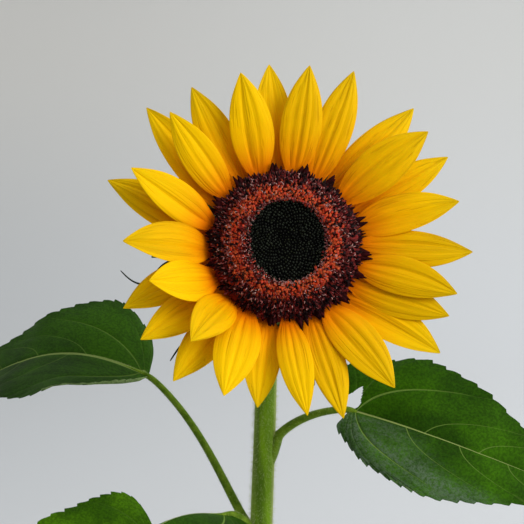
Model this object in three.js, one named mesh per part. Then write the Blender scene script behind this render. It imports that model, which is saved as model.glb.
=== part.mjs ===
// A dwarf sunflower in a plain clay pot: one upright stem with twelve stalked leaves, and one flower head that
// faces the front (-Y) and a little up. Millimetres, +Z up, origin at the middle of the pot's underside.
import * as THREE from "three";

// ---- driving dimensions ----
const gap = 0.3; // between pieces that touch
const pot = { height: 135, footRadius: 54, topRadius: 70, wall: 5, floor: 6, rimDrop: 26, rimOut: 5 };
const soil = { level: 120, topFlat: 20, edgeDrop: 3 };
const stem = { footRadius: 8, radius: 6.2, topRadius: 4.9, flareHeight: 10, top: 445, sides: 12, steps: 14 };
const neck = { endRadius: 8.5, steps: 8 };
const head = { centre: [10.1, -50, 500], turn: 6, tilt: 19 }; // degrees to the right and up from straight ahead
const disk = { radius: 32, coreRadius: 17, depth: 9, rimRise: 0.5, ringRise: 6.8, coreRise: 5.6, segments: 32 };
const cup = { radius: 33, depth: 19, backRadius: 9.5 }; // the green receptacle behind the disk
const collar = { points: 24, tipRadius: 62, notchRadius: 44, thick: 1.2, tipForward: 3 }; // the ring of bracts
const ray = {
  thick: 0.8,
  firstRow: 2, // depth of the front row's roots behind the disk's rim
  rowStep: 2.2,
  bulge: 3, // how far the middle stands off the straight line from root to tip
  cup: 1, // how far the margins bend back
  across: 2,
  along: 6,
};
const leaf = {
  thick: 1,
  across: 6,
  along: 7,
  leaveAngle: THREE.MathUtils.degToRad(52), // how steeply a stalk leaves the stem
  petioleRoot: 2.3,
  petioleEnd: 1.6,
  petioleSides: 8,
  petioleSteps: 8,
};

// The ray florets, counter-clockwise from the right as seen from the front. Root and tip are angles round the
// disk, reach is the tip's distance from the middle, fore is how far the tip stands forward, and row is 0 for
// the front row, 1 for the middle and 2 for the back.
const rays = [
  { root: 14, tip: 13, reach: 77, fore: 3, wide: 16.5, row: 1.4 },
  { root: 26, tip: 28, reach: 82.5, fore: -2, wide: 15, row: 2 },
  { root: 38, tip: 37, reach: 78, fore: 8, wide: 18, row: 0 },
  { root: 51, tip: 46, reach: 85, fore: -2, wide: 16, row: 2 },
  { root: 65, tip: 67, reach: 82.5, fore: 4, wide: 16, row: 1 },
  { root: 81, tip: 81, reach: 77, fore: 10, wide: 17, row: 0 },
  { root: 94, tip: 93, reach: 80.5, fore: 0, wide: 16, row: 2 },
  { root: 109, tip: 104, reach: 74, fore: 12, wide: 18, row: 0 },
  { root: 121, tip: 119, reach: 79, fore: 2, wide: 16, row: 2 },
  { root: 137, tip: 132, reach: 72, fore: 14, wide: 15, row: 0 },
  { root: 144, tip: 134, reach: 83, fore: 2, wide: 15, row: 2 },
  { root: 163, tip: 156, reach: 70.5, fore: 16, wide: 16, row: 0 },
  { root: 170, tip: 160, reach: 79, fore: 4, wide: 16, row: 2 },
  { root: 182, tip: 183, reach: 68, fore: 22, wide: 17, row: 1 },
  { root: 195, tip: 202, reach: 73.5, fore: 5, wide: 15, row: 2.2 },
  { root: 204, tip: 200, reach: 61.5, fore: 28, wide: 18, row: 0 },
  { root: 214, tip: 214, reach: 74, fore: 10, wide: 16, row: 1.7 },
  { root: 224, tip: 227, reach: 61.5, fore: 26, wide: 16, row: 1.0 },
  { root: 231, tip: 230, reach: 75.5, fore: 6, wide: 16, row: 2 },
  { root: 239, tip: 246, reach: 72, fore: 20, wide: 18, row: 0.3 },
  { root: 255, tip: 258, reach: 70.5, fore: 4, wide: 15, row: 2 },
  { root: 270, tip: 273, reach: 74, fore: 16, wide: 13.5, row: 0 },
  { root: 288, tip: 285, reach: 77, fore: 6, wide: 15, row: 1 },
  { root: 301, tip: 303, reach: 75, fore: 10, wide: 18, row: 0 },
  { root: 317, tip: 323, reach: 79, fore: 0, wide: 17, row: 2 },
  { root: 330, tip: 334, reach: 74.5, fore: 4, wide: 16, row: 1 },
  { root: 343, tip: 341, reach: 74, fore: 8, wide: 16, row: 0 },
  { root: 359, tip: 356, reach: 79, fore: 5, wide: 16, row: 0.5 },
];

// The leaves from the top down. A stalk leaves the stem at a height and compass turn, arrives at joint along
// arrive, and the blade runs from there to tip, facing face. fold lifts both halves, arch lifts the middle.
const leaves = [
  {
    height: 404, turn: -8, joint: [40, -14, 421], arrive: [1, -0.2, 0.05], tip: [138, -50, 392],
    face: [0, -0.8, 0.6], wide: 60, fold: 4, arch: 4,
  },
  {
    height: 359, turn: 152, joint: [-56, 36, 427], arrive: [-0.75, 0.25, 0.6], tip: [-160, 58, 412],
    face: [0, -0.54, 0.85], wide: 69, fold: 4, arch: 21,
  },
  {
    height: 360, turn: 218, joint: [-15, -12.5, 371.5], arrive: [-0.75, -0.62, 0.2], tip: [-88, -74, 336],
    face: [-0.05, -0.05, 1], wide: 54, fold: -14, arch: 18,
  },
  {
    height: 314, turn: 184, joint: [-50.5, 6, 351.5], arrive: [-0.9, -0.1, 0.4], tip: [-146, -28, 314],
    face: [-0.1, -0.68, 0.73], wide: 67, fold: 5, arch: 8,
  },
  {
    height: 306, turn: 62, joint: [26, 50, 332], arrive: [0.5, 0.8, 0.1], tip: [84, 138, 290],
    face: [0, 0.2, 0.97], wide: 72, fold: 4, arch: 11,
  },
  {
    height: 300, turn: -44, joint: [45, -44, 338], arrive: [0.7, -0.7, 0.1], tip: [114, -114, 292],
    face: [0.3, -0.45, 0.84], wide: 72, fold: 4, arch: 10,
  },
  {
    height: 276, turn: 112, joint: [-22, 54, 304], arrive: [-0.4, 0.9, 0.1], tip: [-58, 148, 262],
    face: [-0.1, 0.3, 0.95], wide: 74, fold: 4, arch: 11,
  },
  {
    height: 262, turn: 176, joint: [-60, 4, 296], arrive: [-1, 0.1, 0.1], tip: [-166, 14, 250],
    face: [-0.2, -0.2, 0.96], wide: 76, fold: 5, arch: 12,
  },
  {
    height: 244, turn: 22, joint: [58, 24, 272], arrive: [0.9, 0.4, 0.1], tip: [156, 64, 226],
    face: [0.3, 0, 0.95], wide: 78, fold: 4, arch: 12,
  },
  {
    height: 226, turn: 264, joint: [-6, -62, 256], arrive: [-0.1, -1, 0.1], tip: [-18, -164, 208],
    face: [0, -0.4, 0.9], wide: 78, fold: 5, arch: 12,
  },
  {
    height: 208, turn: 140, joint: [-46, 38, 232], arrive: [-0.8, 0.6, 0.1], tip: [-126, 106, 188],
    face: [-0.2, 0.2, 0.96], wide: 76, fold: 4, arch: 11,
  },
  {
    height: 192, turn: -22, joint: [56, -22, 216], arrive: [0.9, -0.4, 0.1], tip: [150, -60, 174],
    face: [0.3, -0.1, 0.95], wide: 74, fold: 4, arch: 11,
  },
];

// Half of a leaf's outline from the bottom of its lobe to its tip: share of the half width, share of the length.
const leafMargin = new THREE.SplineCurve([
  new THREE.Vector2(0.3, -0.035),
  new THREE.Vector2(0.72, 0.01),
  new THREE.Vector2(1, 0.2),
  new THREE.Vector2(0.97, 0.42),
  new THREE.Vector2(0.8, 0.62),
  new THREE.Vector2(0.44, 0.83),
  new THREE.Vector2(0.03, 1),
]);
// A ray floret's width along its length, as a share of its widest.
const rayWidth = new THREE.SplineCurve([
  new THREE.Vector2(0, 0.42),
  new THREE.Vector2(0.17, 0.82),
  new THREE.Vector2(0.36, 0.98),
  new THREE.Vector2(0.54, 1),
  new THREE.Vector2(0.72, 0.84),
  new THREE.Vector2(0.88, 0.46),
  new THREE.Vector2(1, 0.06),
]);

const petalYellow = 0xf6bd0a;
const materials = {
  petal: new THREE.MeshStandardMaterial({ color: petalYellow, roughness: 0.55, metalness: 0 }),
  diskRing: new THREE.MeshStandardMaterial({ color: 0x5a1a12, roughness: 0.75, metalness: 0 }),
  diskCore: new THREE.MeshStandardMaterial({ color: 0x14170f, roughness: 0.7, metalness: 0 }),
  greenCup: new THREE.MeshStandardMaterial({ color: 0x55702a, roughness: 0.65, metalness: 0 }),
  stalk: new THREE.MeshStandardMaterial({ color: 0x6b8a2c, roughness: 0.6, metalness: 0 }),
  leaf: new THREE.MeshStandardMaterial({ color: 0x2c5417, roughness: 0.5, metalness: 0 }),
  clay: new THREE.MeshStandardMaterial({ color: 0xa8603f, roughness: 0.85, metalness: 0 }),
  earth: new THREE.MeshStandardMaterial({ color: 0x33241b, roughness: 0.95, metalness: 0 }),
};

// ---- helpers ----
const vec = (x, y, z) => new THREE.Vector3(x, y, z);
const radians = THREE.MathUtils.degToRad;

function named(name, geometry, material) {
  const mesh = new THREE.Mesh(geometry, material);
  mesh.name = name;
  return mesh;
}

// Moves every vertex of a geometry to where place puts it.
function reshape(geometry, place) {
  const position = geometry.getAttribute("position");
  for (let i = 0; i < position.count; i++) {
    const p = place(position.getX(i), position.getY(i), position.getZ(i));
    position.setXYZ(i, p.x, p.y, p.z);
  }
  geometry.computeVertexNormals();
  return geometry;
}

// A solid of revolution about +Z from [radius, height] pairs that run up the outside.
function turned(profile, segments) {
  const points = profile.map(([r, z]) => new THREE.Vector2(r, z));
  return new THREE.LatheGeometry(points, segments).rotateX(Math.PI / 2);
}

// A round limb along a curve, with radiusAt giving its radius from 0 at the start to 1 at the end. Where seat is
// given, the start is cut square to seat instead of square to the curve.
function limb(curve, radiusAt, sides, steps, seat) {
  const frames = curve.computeFrenetFrames(steps, false);
  return reshape(new THREE.CylinderGeometry(1, 1, 1, sides, steps), (x, y, z) => {
    const t = y + 0.5;
    const step = Math.round(t * steps);
    const r = radiusAt(t);
    const out = vec().addScaledVector(frames.normals[step], z * r).addScaledVector(frames.binormals[step], x * r);
    if (seat && step === 0) {
      const tangent = frames.tangents[0];
      out.addScaledVector(tangent, -out.dot(seat) / tangent.dot(seat));
    }
    return out.add(curve.getPointAt(t));
  });
}

// The three directions of a blade that runs along `along` and faces `face`.
function bladeAxes(along, face) {
  const forward = along.clone().normalize();
  const across = vec().crossVectors(forward, face).normalize();
  return { forward, across, normal: vec().crossVectors(across, forward) };
}

// ---- pot and soil ----
function potGeometry() {
  const rimFoot = pot.height - pot.rimDrop;
  const radiusAt = (z) => pot.footRadius + ((pot.topRadius - pot.footRadius) * z) / pot.height;
  return turned(
    [
      [0, 0],
      [pot.footRadius - 1.5, 0],
      [pot.footRadius, 1.5],
      [radiusAt(rimFoot), rimFoot],
      [radiusAt(rimFoot) + pot.rimOut - 1, rimFoot + 1],
      [pot.topRadius + pot.rimOut, pot.height - 2],
      [pot.topRadius + pot.rimOut - 2, pot.height],
      [pot.topRadius - pot.wall + 2, pot.height],
      [pot.topRadius - pot.wall, pot.height - 2],
      [pot.footRadius - pot.wall, pot.floor],
      [0, pot.floor],
    ],
    40,
  );
}

function soilGeometry() {
  const innerFoot = pot.footRadius - pot.wall;
  const innerTop = pot.topRadius - pot.wall;
  const edge = soil.level - soil.edgeDrop;
  const innerAt = (z) => innerFoot + ((innerTop - innerFoot) * (z - pot.floor)) / (pot.height - 2 - pot.floor);
  return turned(
    [
      [0, pot.floor + gap],
      [innerFoot - gap, pot.floor + gap],
      [innerAt(edge) - gap, edge],
      [soil.topFlat, soil.level],
      [0, soil.level],
    ],
    40,
  );
}

// ---- stem and neck ----
const stemFoot = soil.level + gap;
const stemCurve = new THREE.CatmullRomCurve3([
  vec(0, 0, stemFoot),
  vec(0, 0, stemFoot + 12),
  vec(-1.5, 0.8, 240),
  vec(-0.4, 0, 362),
  vec(1.2, 0, 405),
  vec(2.2, 0, stem.top),
]);

function stemRadius(t) {
  const height = t * (stem.top - stemFoot);
  const flare = Math.max(0, 1 - height / stem.flareHeight);
  return THREE.MathUtils.lerp(stem.radius, stem.topRadius, t) + (stem.footRadius - stem.radius) * flare * flare;
}

const headAxis = vec(
  Math.sin(radians(head.turn)) * Math.cos(radians(head.tilt)),
  -Math.cos(radians(head.turn)) * Math.cos(radians(head.tilt)),
  Math.sin(radians(head.tilt)),
);
const headCentre = vec(...head.centre);

function neckGeometry() {
  const start = stemCurve.getPointAt(1);
  const up = stemCurve.getTangentAt(1);
  const end = headCentre.clone().addScaledVector(headAxis, -(disk.depth + 2 * gap + cup.depth));
  const curve = new THREE.CubicBezierCurve3(
    start.clone().addScaledVector(up, gap),
    start.clone().addScaledVector(up, 32),
    end.clone().addScaledVector(headAxis, -22),
    end,
  );
  const radiusAt = (t) => THREE.MathUtils.lerp(stem.topRadius, neck.endRadius, t * t * t);
  return limb(curve, radiusAt, stem.sides, neck.steps);
}

// ---- leaves ----
function petioleGeometry(item) {
  const share = (item.height - stemFoot) / (stem.top - stemFoot);
  const centre = stemCurve.getPointAt(share);
  const out = vec(Math.cos(radians(item.turn)), Math.sin(radians(item.turn)), 0);
  const leaving = out.clone().multiplyScalar(Math.cos(leaf.leaveAngle)).setZ(Math.sin(leaf.leaveAngle));
  const start = centre.addScaledVector(out, stemRadius(share) + gap);
  const joint = vec(...item.joint);
  const reach = start.distanceTo(joint);
  const curve = new THREE.CubicBezierCurve3(
    start,
    start.clone().addScaledVector(leaving, reach * 0.25),
    joint.clone().addScaledVector(vec(...item.arrive).normalize(), -reach * 0.4),
    joint,
  );
  const radiusAt = (t) => THREE.MathUtils.lerp(leaf.petioleRoot, leaf.petioleEnd, t);
  return limb(curve, radiusAt, leaf.petioleSides, leaf.petioleSteps, out);
}

function leafGeometry(item) {
  const joint = vec(...item.joint);
  const whole = vec(...item.tip).sub(joint);
  const { forward, across, normal } = bladeAxes(whole, vec(...item.face));
  const slant = vec(...item.arrive).angleTo(forward);
  const clear = gap + leaf.petioleEnd * Math.sin(slant) + leaf.thick * 0.5;
  const start = joint.addScaledVector(forward, clear);
  const length = whole.length() - clear;
  return reshape(new THREE.BoxGeometry(2, 1, 1, leaf.across, leaf.along, 1), (x, y, z) => {
    const t = y + 0.5;
    const margin = leafMargin.getPoint(t);
    const along = THREE.MathUtils.lerp(t, margin.y, Math.abs(x));
    const side = x * margin.x;
    const middle = THREE.MathUtils.clamp(along, 0, 1);
    const arched = item.arch * middle * (1 - middle) * (5.4 - 3.4 * middle);
    const height = arched + item.fold * Math.abs(side) + leaf.thick * z;
    return start
      .clone()
      .addScaledVector(forward, along * length)
      .addScaledVector(across, (side * item.wide) / 2)
      .addScaledVector(normal, height);
  });
}

// ---- flower head, built about its own +Z, which points out of the flower ----
function diskRingGeometry() {
  return turned(
    [
      [disk.coreRadius + gap, -disk.depth],
      [disk.radius - 1, -disk.depth],
      [disk.radius, -disk.depth + 1],
      [disk.radius, disk.rimRise],
      [disk.radius - 3, disk.ringRise * 0.55],
      [disk.radius - 8, disk.ringRise],
      [disk.coreRadius + 3, disk.ringRise],
      [disk.coreRadius + gap, disk.ringRise - 1.5],
      [disk.coreRadius + gap, -disk.depth],
    ],
    disk.segments,
  );
}

function diskCoreGeometry() {
  return turned(
    [
      [0, -disk.depth],
      [disk.coreRadius, -disk.depth],
      [disk.coreRadius, disk.coreRise - 1],
      [disk.coreRadius * 0.8, disk.coreRise],
      [disk.coreRadius * 0.4, disk.coreRise + 0.6],
      [0, disk.coreRise + 0.6],
    ],
    disk.segments,
  );
}

function cupGeometry() {
  const top = -disk.depth - gap;
  return turned(
    [
      [0, top - cup.depth],
      [cup.backRadius, top - cup.depth],
      [cup.backRadius + 5, top - cup.depth * 0.74],
      [cup.radius - 8, top - cup.depth * 0.5],
      [cup.radius - 1, top - cup.depth * 0.22],
      [cup.radius, top - 1],
      [cup.radius - 1, top],
      [0, top],
    ],
    24,
  );
}

// A thin dish behind the rays, notched all round into bracts.
function collarGeometry() {
  const back = -disk.depth - 2.2;
  const inner = cup.radius + gap;
  const dish = turned(
    [
      [inner, back - collar.thick],
      [collar.tipRadius, back - collar.thick + collar.tipForward],
      [collar.tipRadius, back + collar.tipForward],
      [inner, back],
      [inner, back - collar.thick],
    ],
    collar.points * 2,
  );
  return reshape(dish, (x, y, z) => {
    const radius = Math.hypot(x, y);
    const place = Math.round((Math.atan2(y, x) / Math.PI) * collar.points);
    const notched = radius > inner + 1 && place % 2 !== 0;
    const scale = notched ? collar.notchRadius / radius : 1;
    return vec(x * scale, y * scale, z);
  });
}

function rayGeometry(item) {
  const rootAngle = radians(item.root);
  const tipAngle = radians(item.tip);
  const tip = vec(item.reach * Math.cos(tipAngle), item.reach * Math.sin(tipAngle), item.fore);
  const depth = -(ray.firstRow + ray.rowStep * item.row);
  const rootAt = (radius) => vec(radius * Math.cos(rootAngle), radius * Math.sin(rootAngle), depth);
  const facing = vec(0, 0, 1);
  const first = bladeAxes(tip.clone().sub(rootAt(disk.radius)), facing);
  const outward = vec(Math.cos(rootAngle), Math.sin(rootAngle), 0);
  const halfRoot = (item.wide / 2) * rayWidth.getPoint(0).y;
  const clear = gap + halfRoot * Math.abs(first.across.dot(outward)) + ray.thick * Math.abs(first.normal.dot(outward));
  const root = rootAt(disk.radius + clear);
  const { forward, across, normal } = bladeAxes(tip.clone().sub(root), facing);
  const length = root.distanceTo(tip);
  return reshape(new THREE.BoxGeometry(2, 1, 1, ray.across, ray.along, 1), (x, y, z) => {
    const t = y + 0.5;
    const width = rayWidth.getPoint(t).y;
    const height = ray.bulge * 4 * t * (1 - t) - ray.cup * x * x * width + ray.thick * z;
    return root
      .clone()
      .addScaledVector(forward, t * length)
      .addScaledVector(across, (x * width * item.wide) / 2)
      .addScaledVector(normal, height);
  });
}

function flowerHead() {
  const flower = new THREE.Group();
  const right = vec().crossVectors(vec(0, 0, 1), headAxis).normalize();
  const up = vec().crossVectors(headAxis, right);
  flower.quaternion.setFromRotationMatrix(new THREE.Matrix4().makeBasis(right, up, headAxis));
  flower.position.copy(headCentre);
  flower.add(named("disk_ring", diskRingGeometry(), materials.diskRing));
  flower.add(named("disk_core", diskCoreGeometry(), materials.diskCore));
  flower.add(named("receptacle", cupGeometry(), materials.greenCup));
  flower.add(named("bract_collar", collarGeometry(), materials.greenCup));
  rays.forEach((item, i) => {
    flower.add(named(`ray_${String(i + 1).padStart(2, "0")}`, rayGeometry(item), materials.petal));
  });
  return flower;
}

// ---- assembly ----
const sunflower = new THREE.Group();
sunflower.add(named("pot", potGeometry(), materials.clay));
sunflower.add(named("soil", soilGeometry(), materials.earth));
sunflower.add(named("stem", limb(stemCurve, stemRadius, stem.sides, stem.steps), materials.stalk));
sunflower.add(named("neck", neckGeometry(), materials.stalk));
leaves.forEach((item, i) => {
  const number = String(i + 1).padStart(2, "0");
  sunflower.add(named(`petiole_${number}`, petioleGeometry(item), materials.stalk));
  sunflower.add(named(`leaf_${number}`, leafGeometry(item), materials.leaf));
});
sunflower.add(flowerHead());

export default sunflower;
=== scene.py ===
import random
from math import atan2, cos, degrees, exp, pi, radians, sin, sqrt

import bmesh
import bpy
import numpy as np
from mathutils import Matrix, Vector, noise
from mathutils.geometry import interpolate_bezier


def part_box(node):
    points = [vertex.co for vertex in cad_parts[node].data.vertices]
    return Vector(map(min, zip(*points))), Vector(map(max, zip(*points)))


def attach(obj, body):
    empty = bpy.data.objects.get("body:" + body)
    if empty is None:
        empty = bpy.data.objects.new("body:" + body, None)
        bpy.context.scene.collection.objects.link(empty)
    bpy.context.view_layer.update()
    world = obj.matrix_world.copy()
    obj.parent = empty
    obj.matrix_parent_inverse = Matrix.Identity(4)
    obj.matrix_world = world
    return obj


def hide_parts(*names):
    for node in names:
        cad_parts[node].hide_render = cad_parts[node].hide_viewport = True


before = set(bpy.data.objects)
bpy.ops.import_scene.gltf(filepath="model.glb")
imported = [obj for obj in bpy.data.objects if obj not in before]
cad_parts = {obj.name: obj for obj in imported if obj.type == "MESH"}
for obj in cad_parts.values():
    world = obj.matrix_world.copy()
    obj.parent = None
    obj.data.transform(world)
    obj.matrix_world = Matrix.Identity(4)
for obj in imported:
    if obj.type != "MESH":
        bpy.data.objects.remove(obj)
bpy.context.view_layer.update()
scene = bpy.context.scene
mm = 0.001
goldenTurn = pi * (3 - sqrt(5))
print("frame loaded:", len(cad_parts), "nodes")


# Small helpers for picking, shaping and finishing pieces.
def deselectAll():
    if bpy.context.object and bpy.context.object.mode != "OBJECT":
        bpy.ops.object.mode_set(mode="OBJECT")
    bpy.ops.object.select_all(action="DESELECT")


def keepOnly(piece):
    deselectAll()
    piece.select_set(True)
    bpy.context.view_layer.objects.active = piece


def newest(name):
    piece = bpy.context.object
    piece.name = name
    piece.data.name = name
    return piece


def applyPlace(piece):
    keepOnly(piece)
    bpy.ops.object.transform_apply(location=True, rotation=True, scale=True)


def added(name):
    # names what was just added, and puts its place in its mesh
    piece = newest(name)
    applyPlace(piece)
    return piece


def applyModifier(piece, kind, **settings):
    keepOnly(piece)
    modifier = piece.modifiers.new("shape", kind)
    for key, value in settings.items():
        setattr(modifier, key, value)
    bpy.ops.object.modifier_apply(modifier="shape")


def copyOf(piece, name):
    keepOnly(piece)
    bpy.ops.object.duplicate()
    return newest(name)


def drop(piece):
    bpy.data.objects.remove(piece)


def joinAll(pieces, name):
    deselectAll()
    for piece in pieces:
        piece.select_set(True)
    bpy.context.view_layer.objects.active = pieces[0]
    bpy.ops.object.join()
    return newest(name)


def editPoints(piece):
    keepOnly(piece)
    bpy.ops.object.mode_set(mode="EDIT")
    bpy.context.tool_settings.mesh_select_mode = (True, False, False)


def leaveEdit():
    bpy.ops.object.mode_set(mode="OBJECT")


def pick(piece, wanted):
    mesh = bmesh.from_edit_mesh(piece.data)
    for corner in mesh.verts:
        corner.select_set(wanted(corner))
    mesh.select_flush_mode()
    bmesh.update_edit_mesh(piece.data)


def pickFaces(piece, wanted):
    bpy.context.tool_settings.mesh_select_mode = (False, False, True)
    mesh = bmesh.from_edit_mesh(piece.data)
    for face in mesh.faces:
        face.select_set(wanted(face))
    bmesh.update_edit_mesh(piece.data)


def pickTop(piece):
    pickFaces(piece, lambda face: face.normal.z > 0.9)


def shift(x, y, z):
    bpy.ops.transform.translate(value=(x, y, z))


def widen(x, y, z, centre=(0, 0, 0)):
    bpy.ops.transform.resize(value=(x, y, z), center_override=centre)


def growOn(out, up, factor, place):
    # draws the picked face on and widens it about its new place
    bpy.ops.mesh.extrude_region_move(TRANSFORM_OT_translate={"value": (out, 0, up)})
    widen(factor, factor, 1, place)


def growThrough(line, level, radius):
    # draws the picked face on through a line of (height, radius)
    for nextLevel, nextRadius in line:
        growOn(0, nextLevel - level, nextRadius / radius, (0, 0, nextLevel))
        level, radius = nextLevel, nextRadius


def drum(name, sides, radius, low, high):
    # an upright round block, left in edit mode with its top picked
    deselectAll()
    place = (0, 0, (high + low) / 2)
    bpy.ops.mesh.primitive_cylinder_add(vertices=sides, radius=radius, depth=high - low, location=place)
    piece = added(name)
    editPoints(piece)
    pickTop(piece)
    return piece


def closeUp(piece, distance=0.02 * mm):
    # merges what lies together and turns every face outwards
    editPoints(piece)
    bpy.ops.mesh.select_all(action="SELECT")
    bpy.ops.mesh.remove_doubles(threshold=distance)
    bpy.ops.mesh.normals_make_consistent(inside=False)
    leaveEdit()


def turnOver(piece):
    editPoints(piece)
    bpy.ops.mesh.select_all(action="SELECT")
    bpy.ops.mesh.flip_normals()
    leaveEdit()


def faceTowards(piece, way):
    # an open blade may come out of closing up with its faces either way round
    facing = sum((face.normal * face.area for face in piece.data.polygons), Vector())
    if facing.dot(way) < 0:
        turnOver(piece)


def smooth(piece, angle=60):
    keepOnly(piece)
    bpy.ops.object.shade_smooth_by_angle(angle=radians(angle))


def settle(piece, slotName, *nodes):
    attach(piece, "root")
    if nodes:
        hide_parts(*nodes)


def sizedCopy(master, name, *size):
    piece = copyOf(master, name)
    piece.scale = size
    applyPlace(piece)
    return piece


def through(points, place):
    # a smooth curve through (place, value) points
    last = len(points) - 2
    i = next((k for k in range(last) if place <= points[k + 1][0]), last)
    (fromPlace, fromValue), (toPlace, toValue) = points[i], points[i + 1]
    before, after = points[max(i - 1, 0)], points[min(i + 2, last + 1)]
    span = toPlace - fromPlace
    leave = (toValue - before[1]) / (toPlace - before[0]) * span
    arrive = (after[1] - fromValue) / (after[0] - fromPlace) * span
    s = min(max((place - fromPlace) / span, 0), 1)
    return (
        fromValue * (2 * s**3 - 3 * s**2 + 1)
        + leave * (s**3 - 2 * s**2 + s)
        + toValue * (3 * s**2 - 2 * s**3)
        + arrive * (s**3 - s**2)
    )


def axesAt(place, along, front):
    # a matrix whose Z runs along the piece and whose -Y faces the front
    up = along.normalized()
    right = up.cross(-front).normalized() * -1
    back = up.cross(right)
    turn = Matrix((right, back, up)).transposed().to_4x4()
    turn.translation = place
    return turn


def joinedCopies(name, master, places):
    # one mesh of many copies of a small master, each at its own matrix
    corners = np.array([[*v.co, 1] for v in master.data.vertices])
    faces = [tuple(face.vertices) for face in master.data.polygons]
    moved = np.concatenate([corners @ np.array(place).T for place in places])
    mesh = bpy.data.meshes.new(name)
    every = [[i + k * len(corners) for i in face] for k in range(len(places)) for face in faces]
    mesh.from_pydata(moved[:, :3].tolist(), [], every)
    piece = bpy.data.objects.new(name, mesh)
    scene.collection.objects.link(piece)
    mesh.shade_smooth()
    return piece


# What the frame says about where things are.
def cornersOf(node):
    places = {tuple(round(c, 6) for c in v.co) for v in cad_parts[node].data.vertices}
    return [Vector(place) for place in sorted(places)]


def middle(points):
    return sum(points, Vector()) / len(points)


def spread(points, start, along):
    # the way a blade widens to both sides of its line, and how wide it is
    sides = np.array([(p - start) - along * (p - start).dot(along) for p in points])
    across = Vector(np.linalg.svd(sides - sides.mean(axis=0))[2][0])
    reach = sides @ np.array(across)
    return across.normalized(), float(reach.max() - reach.min())


ringCorners = cornersOf("disk_ring")
cupCorners = cornersOf("receptacle")
headAxis = (middle(ringCorners) - middle(cupCorners)).normalized()
headRight = Vector((0, 0, 1)).cross(headAxis).normalized()
headUp = headAxis.cross(headRight)
axisFoot = middle(ringCorners)


def alongHead(point):
    return (point - axisFoot).dot(headAxis)


def fromAxis(point):
    return (point - axisFoot - headAxis * alongHead(point)).length


diskRadius = max(fromAxis(p) for p in ringCorners)
coreRadius = max(fromAxis(p) for p in cornersOf("disk_core"))
rimHeight = max(alongHead(p) for p in ringCorners if fromAxis(p) > 0.99 * diskRadius)
headCentre = axisFoot + headAxis * rimHeight
headSpace = Matrix((headRight, headUp, headAxis)).transposed().to_4x4()
headSpace.translation = headCentre
toHead = headSpace.inverted()
print("head at", [round(c, 4) for c in headCentre], "facing", [round(c, 3) for c in headAxis])


def onHead(angle, radius, height):
    # a point in the head's own space: degrees round from the right, and distances in millimetres
    turn = radians(angle)
    return Vector((radius * cos(turn), radius * sin(turn), height)) * mm


def settleOnHead(piece, slotName, *nodes):
    # for what is modelled in the head's own space
    piece.matrix_world = headSpace
    applyPlace(piece)
    settle(piece, slotName, *nodes)


# The camera and the light.
view = {"offset": (-0.0101, -0.5176, 0.0466), "down": 6, "lens": 85}
camera = bpy.data.objects.new("camera", bpy.data.cameras.new("camera"))
scene.collection.objects.link(camera)
camera.location = headCentre + Vector(view["offset"])
camera.rotation_euler = (radians(90 - view["down"]), 0, 0)
camera.data.lens = view["lens"]
scene.camera = camera
scene.view_settings.view_transform = "Standard"

light = {
    "sky": (0.95, 0.97, 1.0),
    "skyPower": 0.68,
    "keyFrom": (3.2, -2.0, 1.8),
    "keySize": 3.4,
    "keyPower": 45,
    "keyColour": (1.0, 0.98, 0.94),
    "keySpread": 88,
}
world = bpy.data.worlds.new("studio")
scene.world = world
world.use_nodes = True
sky = world.node_tree.nodes["Background"]
sky.inputs["Color"].default_value = (*light["sky"], 1)
sky.inputs["Strength"].default_value = light["skyPower"]
deselectAll()
bpy.ops.object.light_add(type="AREA", location=headCentre + Vector(light["keyFrom"]))
key = bpy.context.object
key.name = "keyLight"
key.data.size = light["keySize"]
key.data.energy = light["keyPower"]
key.data.color = light["keyColour"]
key.data.spread = radians(light["keySpread"])
key.rotation_euler = (headCentre - key.location).to_track_quat("-Z", "Y").to_euler()


# Materials.
def paint(red, green, blue):
    # a colour from screen values of 0 to 255
    shares = [value / 255 for value in (red, green, blue)]
    return (*[s / 12.92 if s <= 0.04045 else ((s + 0.055) / 1.055) ** 2.4 for s in shares], 1)


def newMaterial(name, look):
    material = bpy.data.materials.new(name)
    material.use_nodes = True
    shader = material.node_tree.nodes["Principled BSDF"]
    white = (1, 1, 1, 1)
    settings = {
        "Roughness": look["roughness"],
        "Specular IOR Level": look.get("specular", 0.3),
        "Specular Tint": look.get("tint", white),
        "Sheen Weight": look.get("sheen", 0.0),
        "Sheen Roughness": 0.5,
        "Sheen Tint": look.get("sheenTint", look.get("tint", white)),
        "Subsurface Weight": look.get("glow", 0.0),
        "Subsurface Radius": look.get("glowColour", (1.0, 0.3, 0.15)),
        "Subsurface Scale": look.get("glowDepth", 1.2 * mm),
        "Emission Strength": look.get("paintedGlow", 0.0),
    }
    for socket, value in settings.items():
        shader.inputs[socket].default_value = value
    return material, material.node_tree, shader


def feed(tree, socket, value):
    if isinstance(value, bpy.types.NodeSocket):
        tree.links.new(value, socket)
    else:
        socket.default_value = value


def addNode(tree, kind, sockets, **settings):
    node = tree.nodes.new(kind)
    for key, value in settings.items():
        setattr(node, key, value)
    for name, value in sockets.items():
        feed(tree, node.inputs[name], value)
    return node


def reckon(tree, operation, first, second=0.0):
    return addNode(tree, "ShaderNodeMath", {0: first, 1: second}, operation=operation).outputs[0]


def times(tree, first, second):
    return reckon(tree, "MULTIPLY", first, second)


def plus(tree, first, second):
    return reckon(tree, "ADD", first, second)


def mixColour(tree, blend, factor, first, second):
    sockets = {0: factor, 6: first, 7: second}
    return addNode(tree, "ShaderNodeMix", sockets, data_type="RGBA", blend_type=blend).outputs[2]


def ramp(tree, factor, stops):
    node = addNode(tree, "ShaderNodeValToRGB", {"Fac": factor})
    points = node.color_ramp.elements
    while len(points) < len(stops):
        points.new(0.5)
    for point, (place, colour) in zip(points, stops):
        point.position = place
        point.color = colour
    return node.outputs["Color"]


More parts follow.
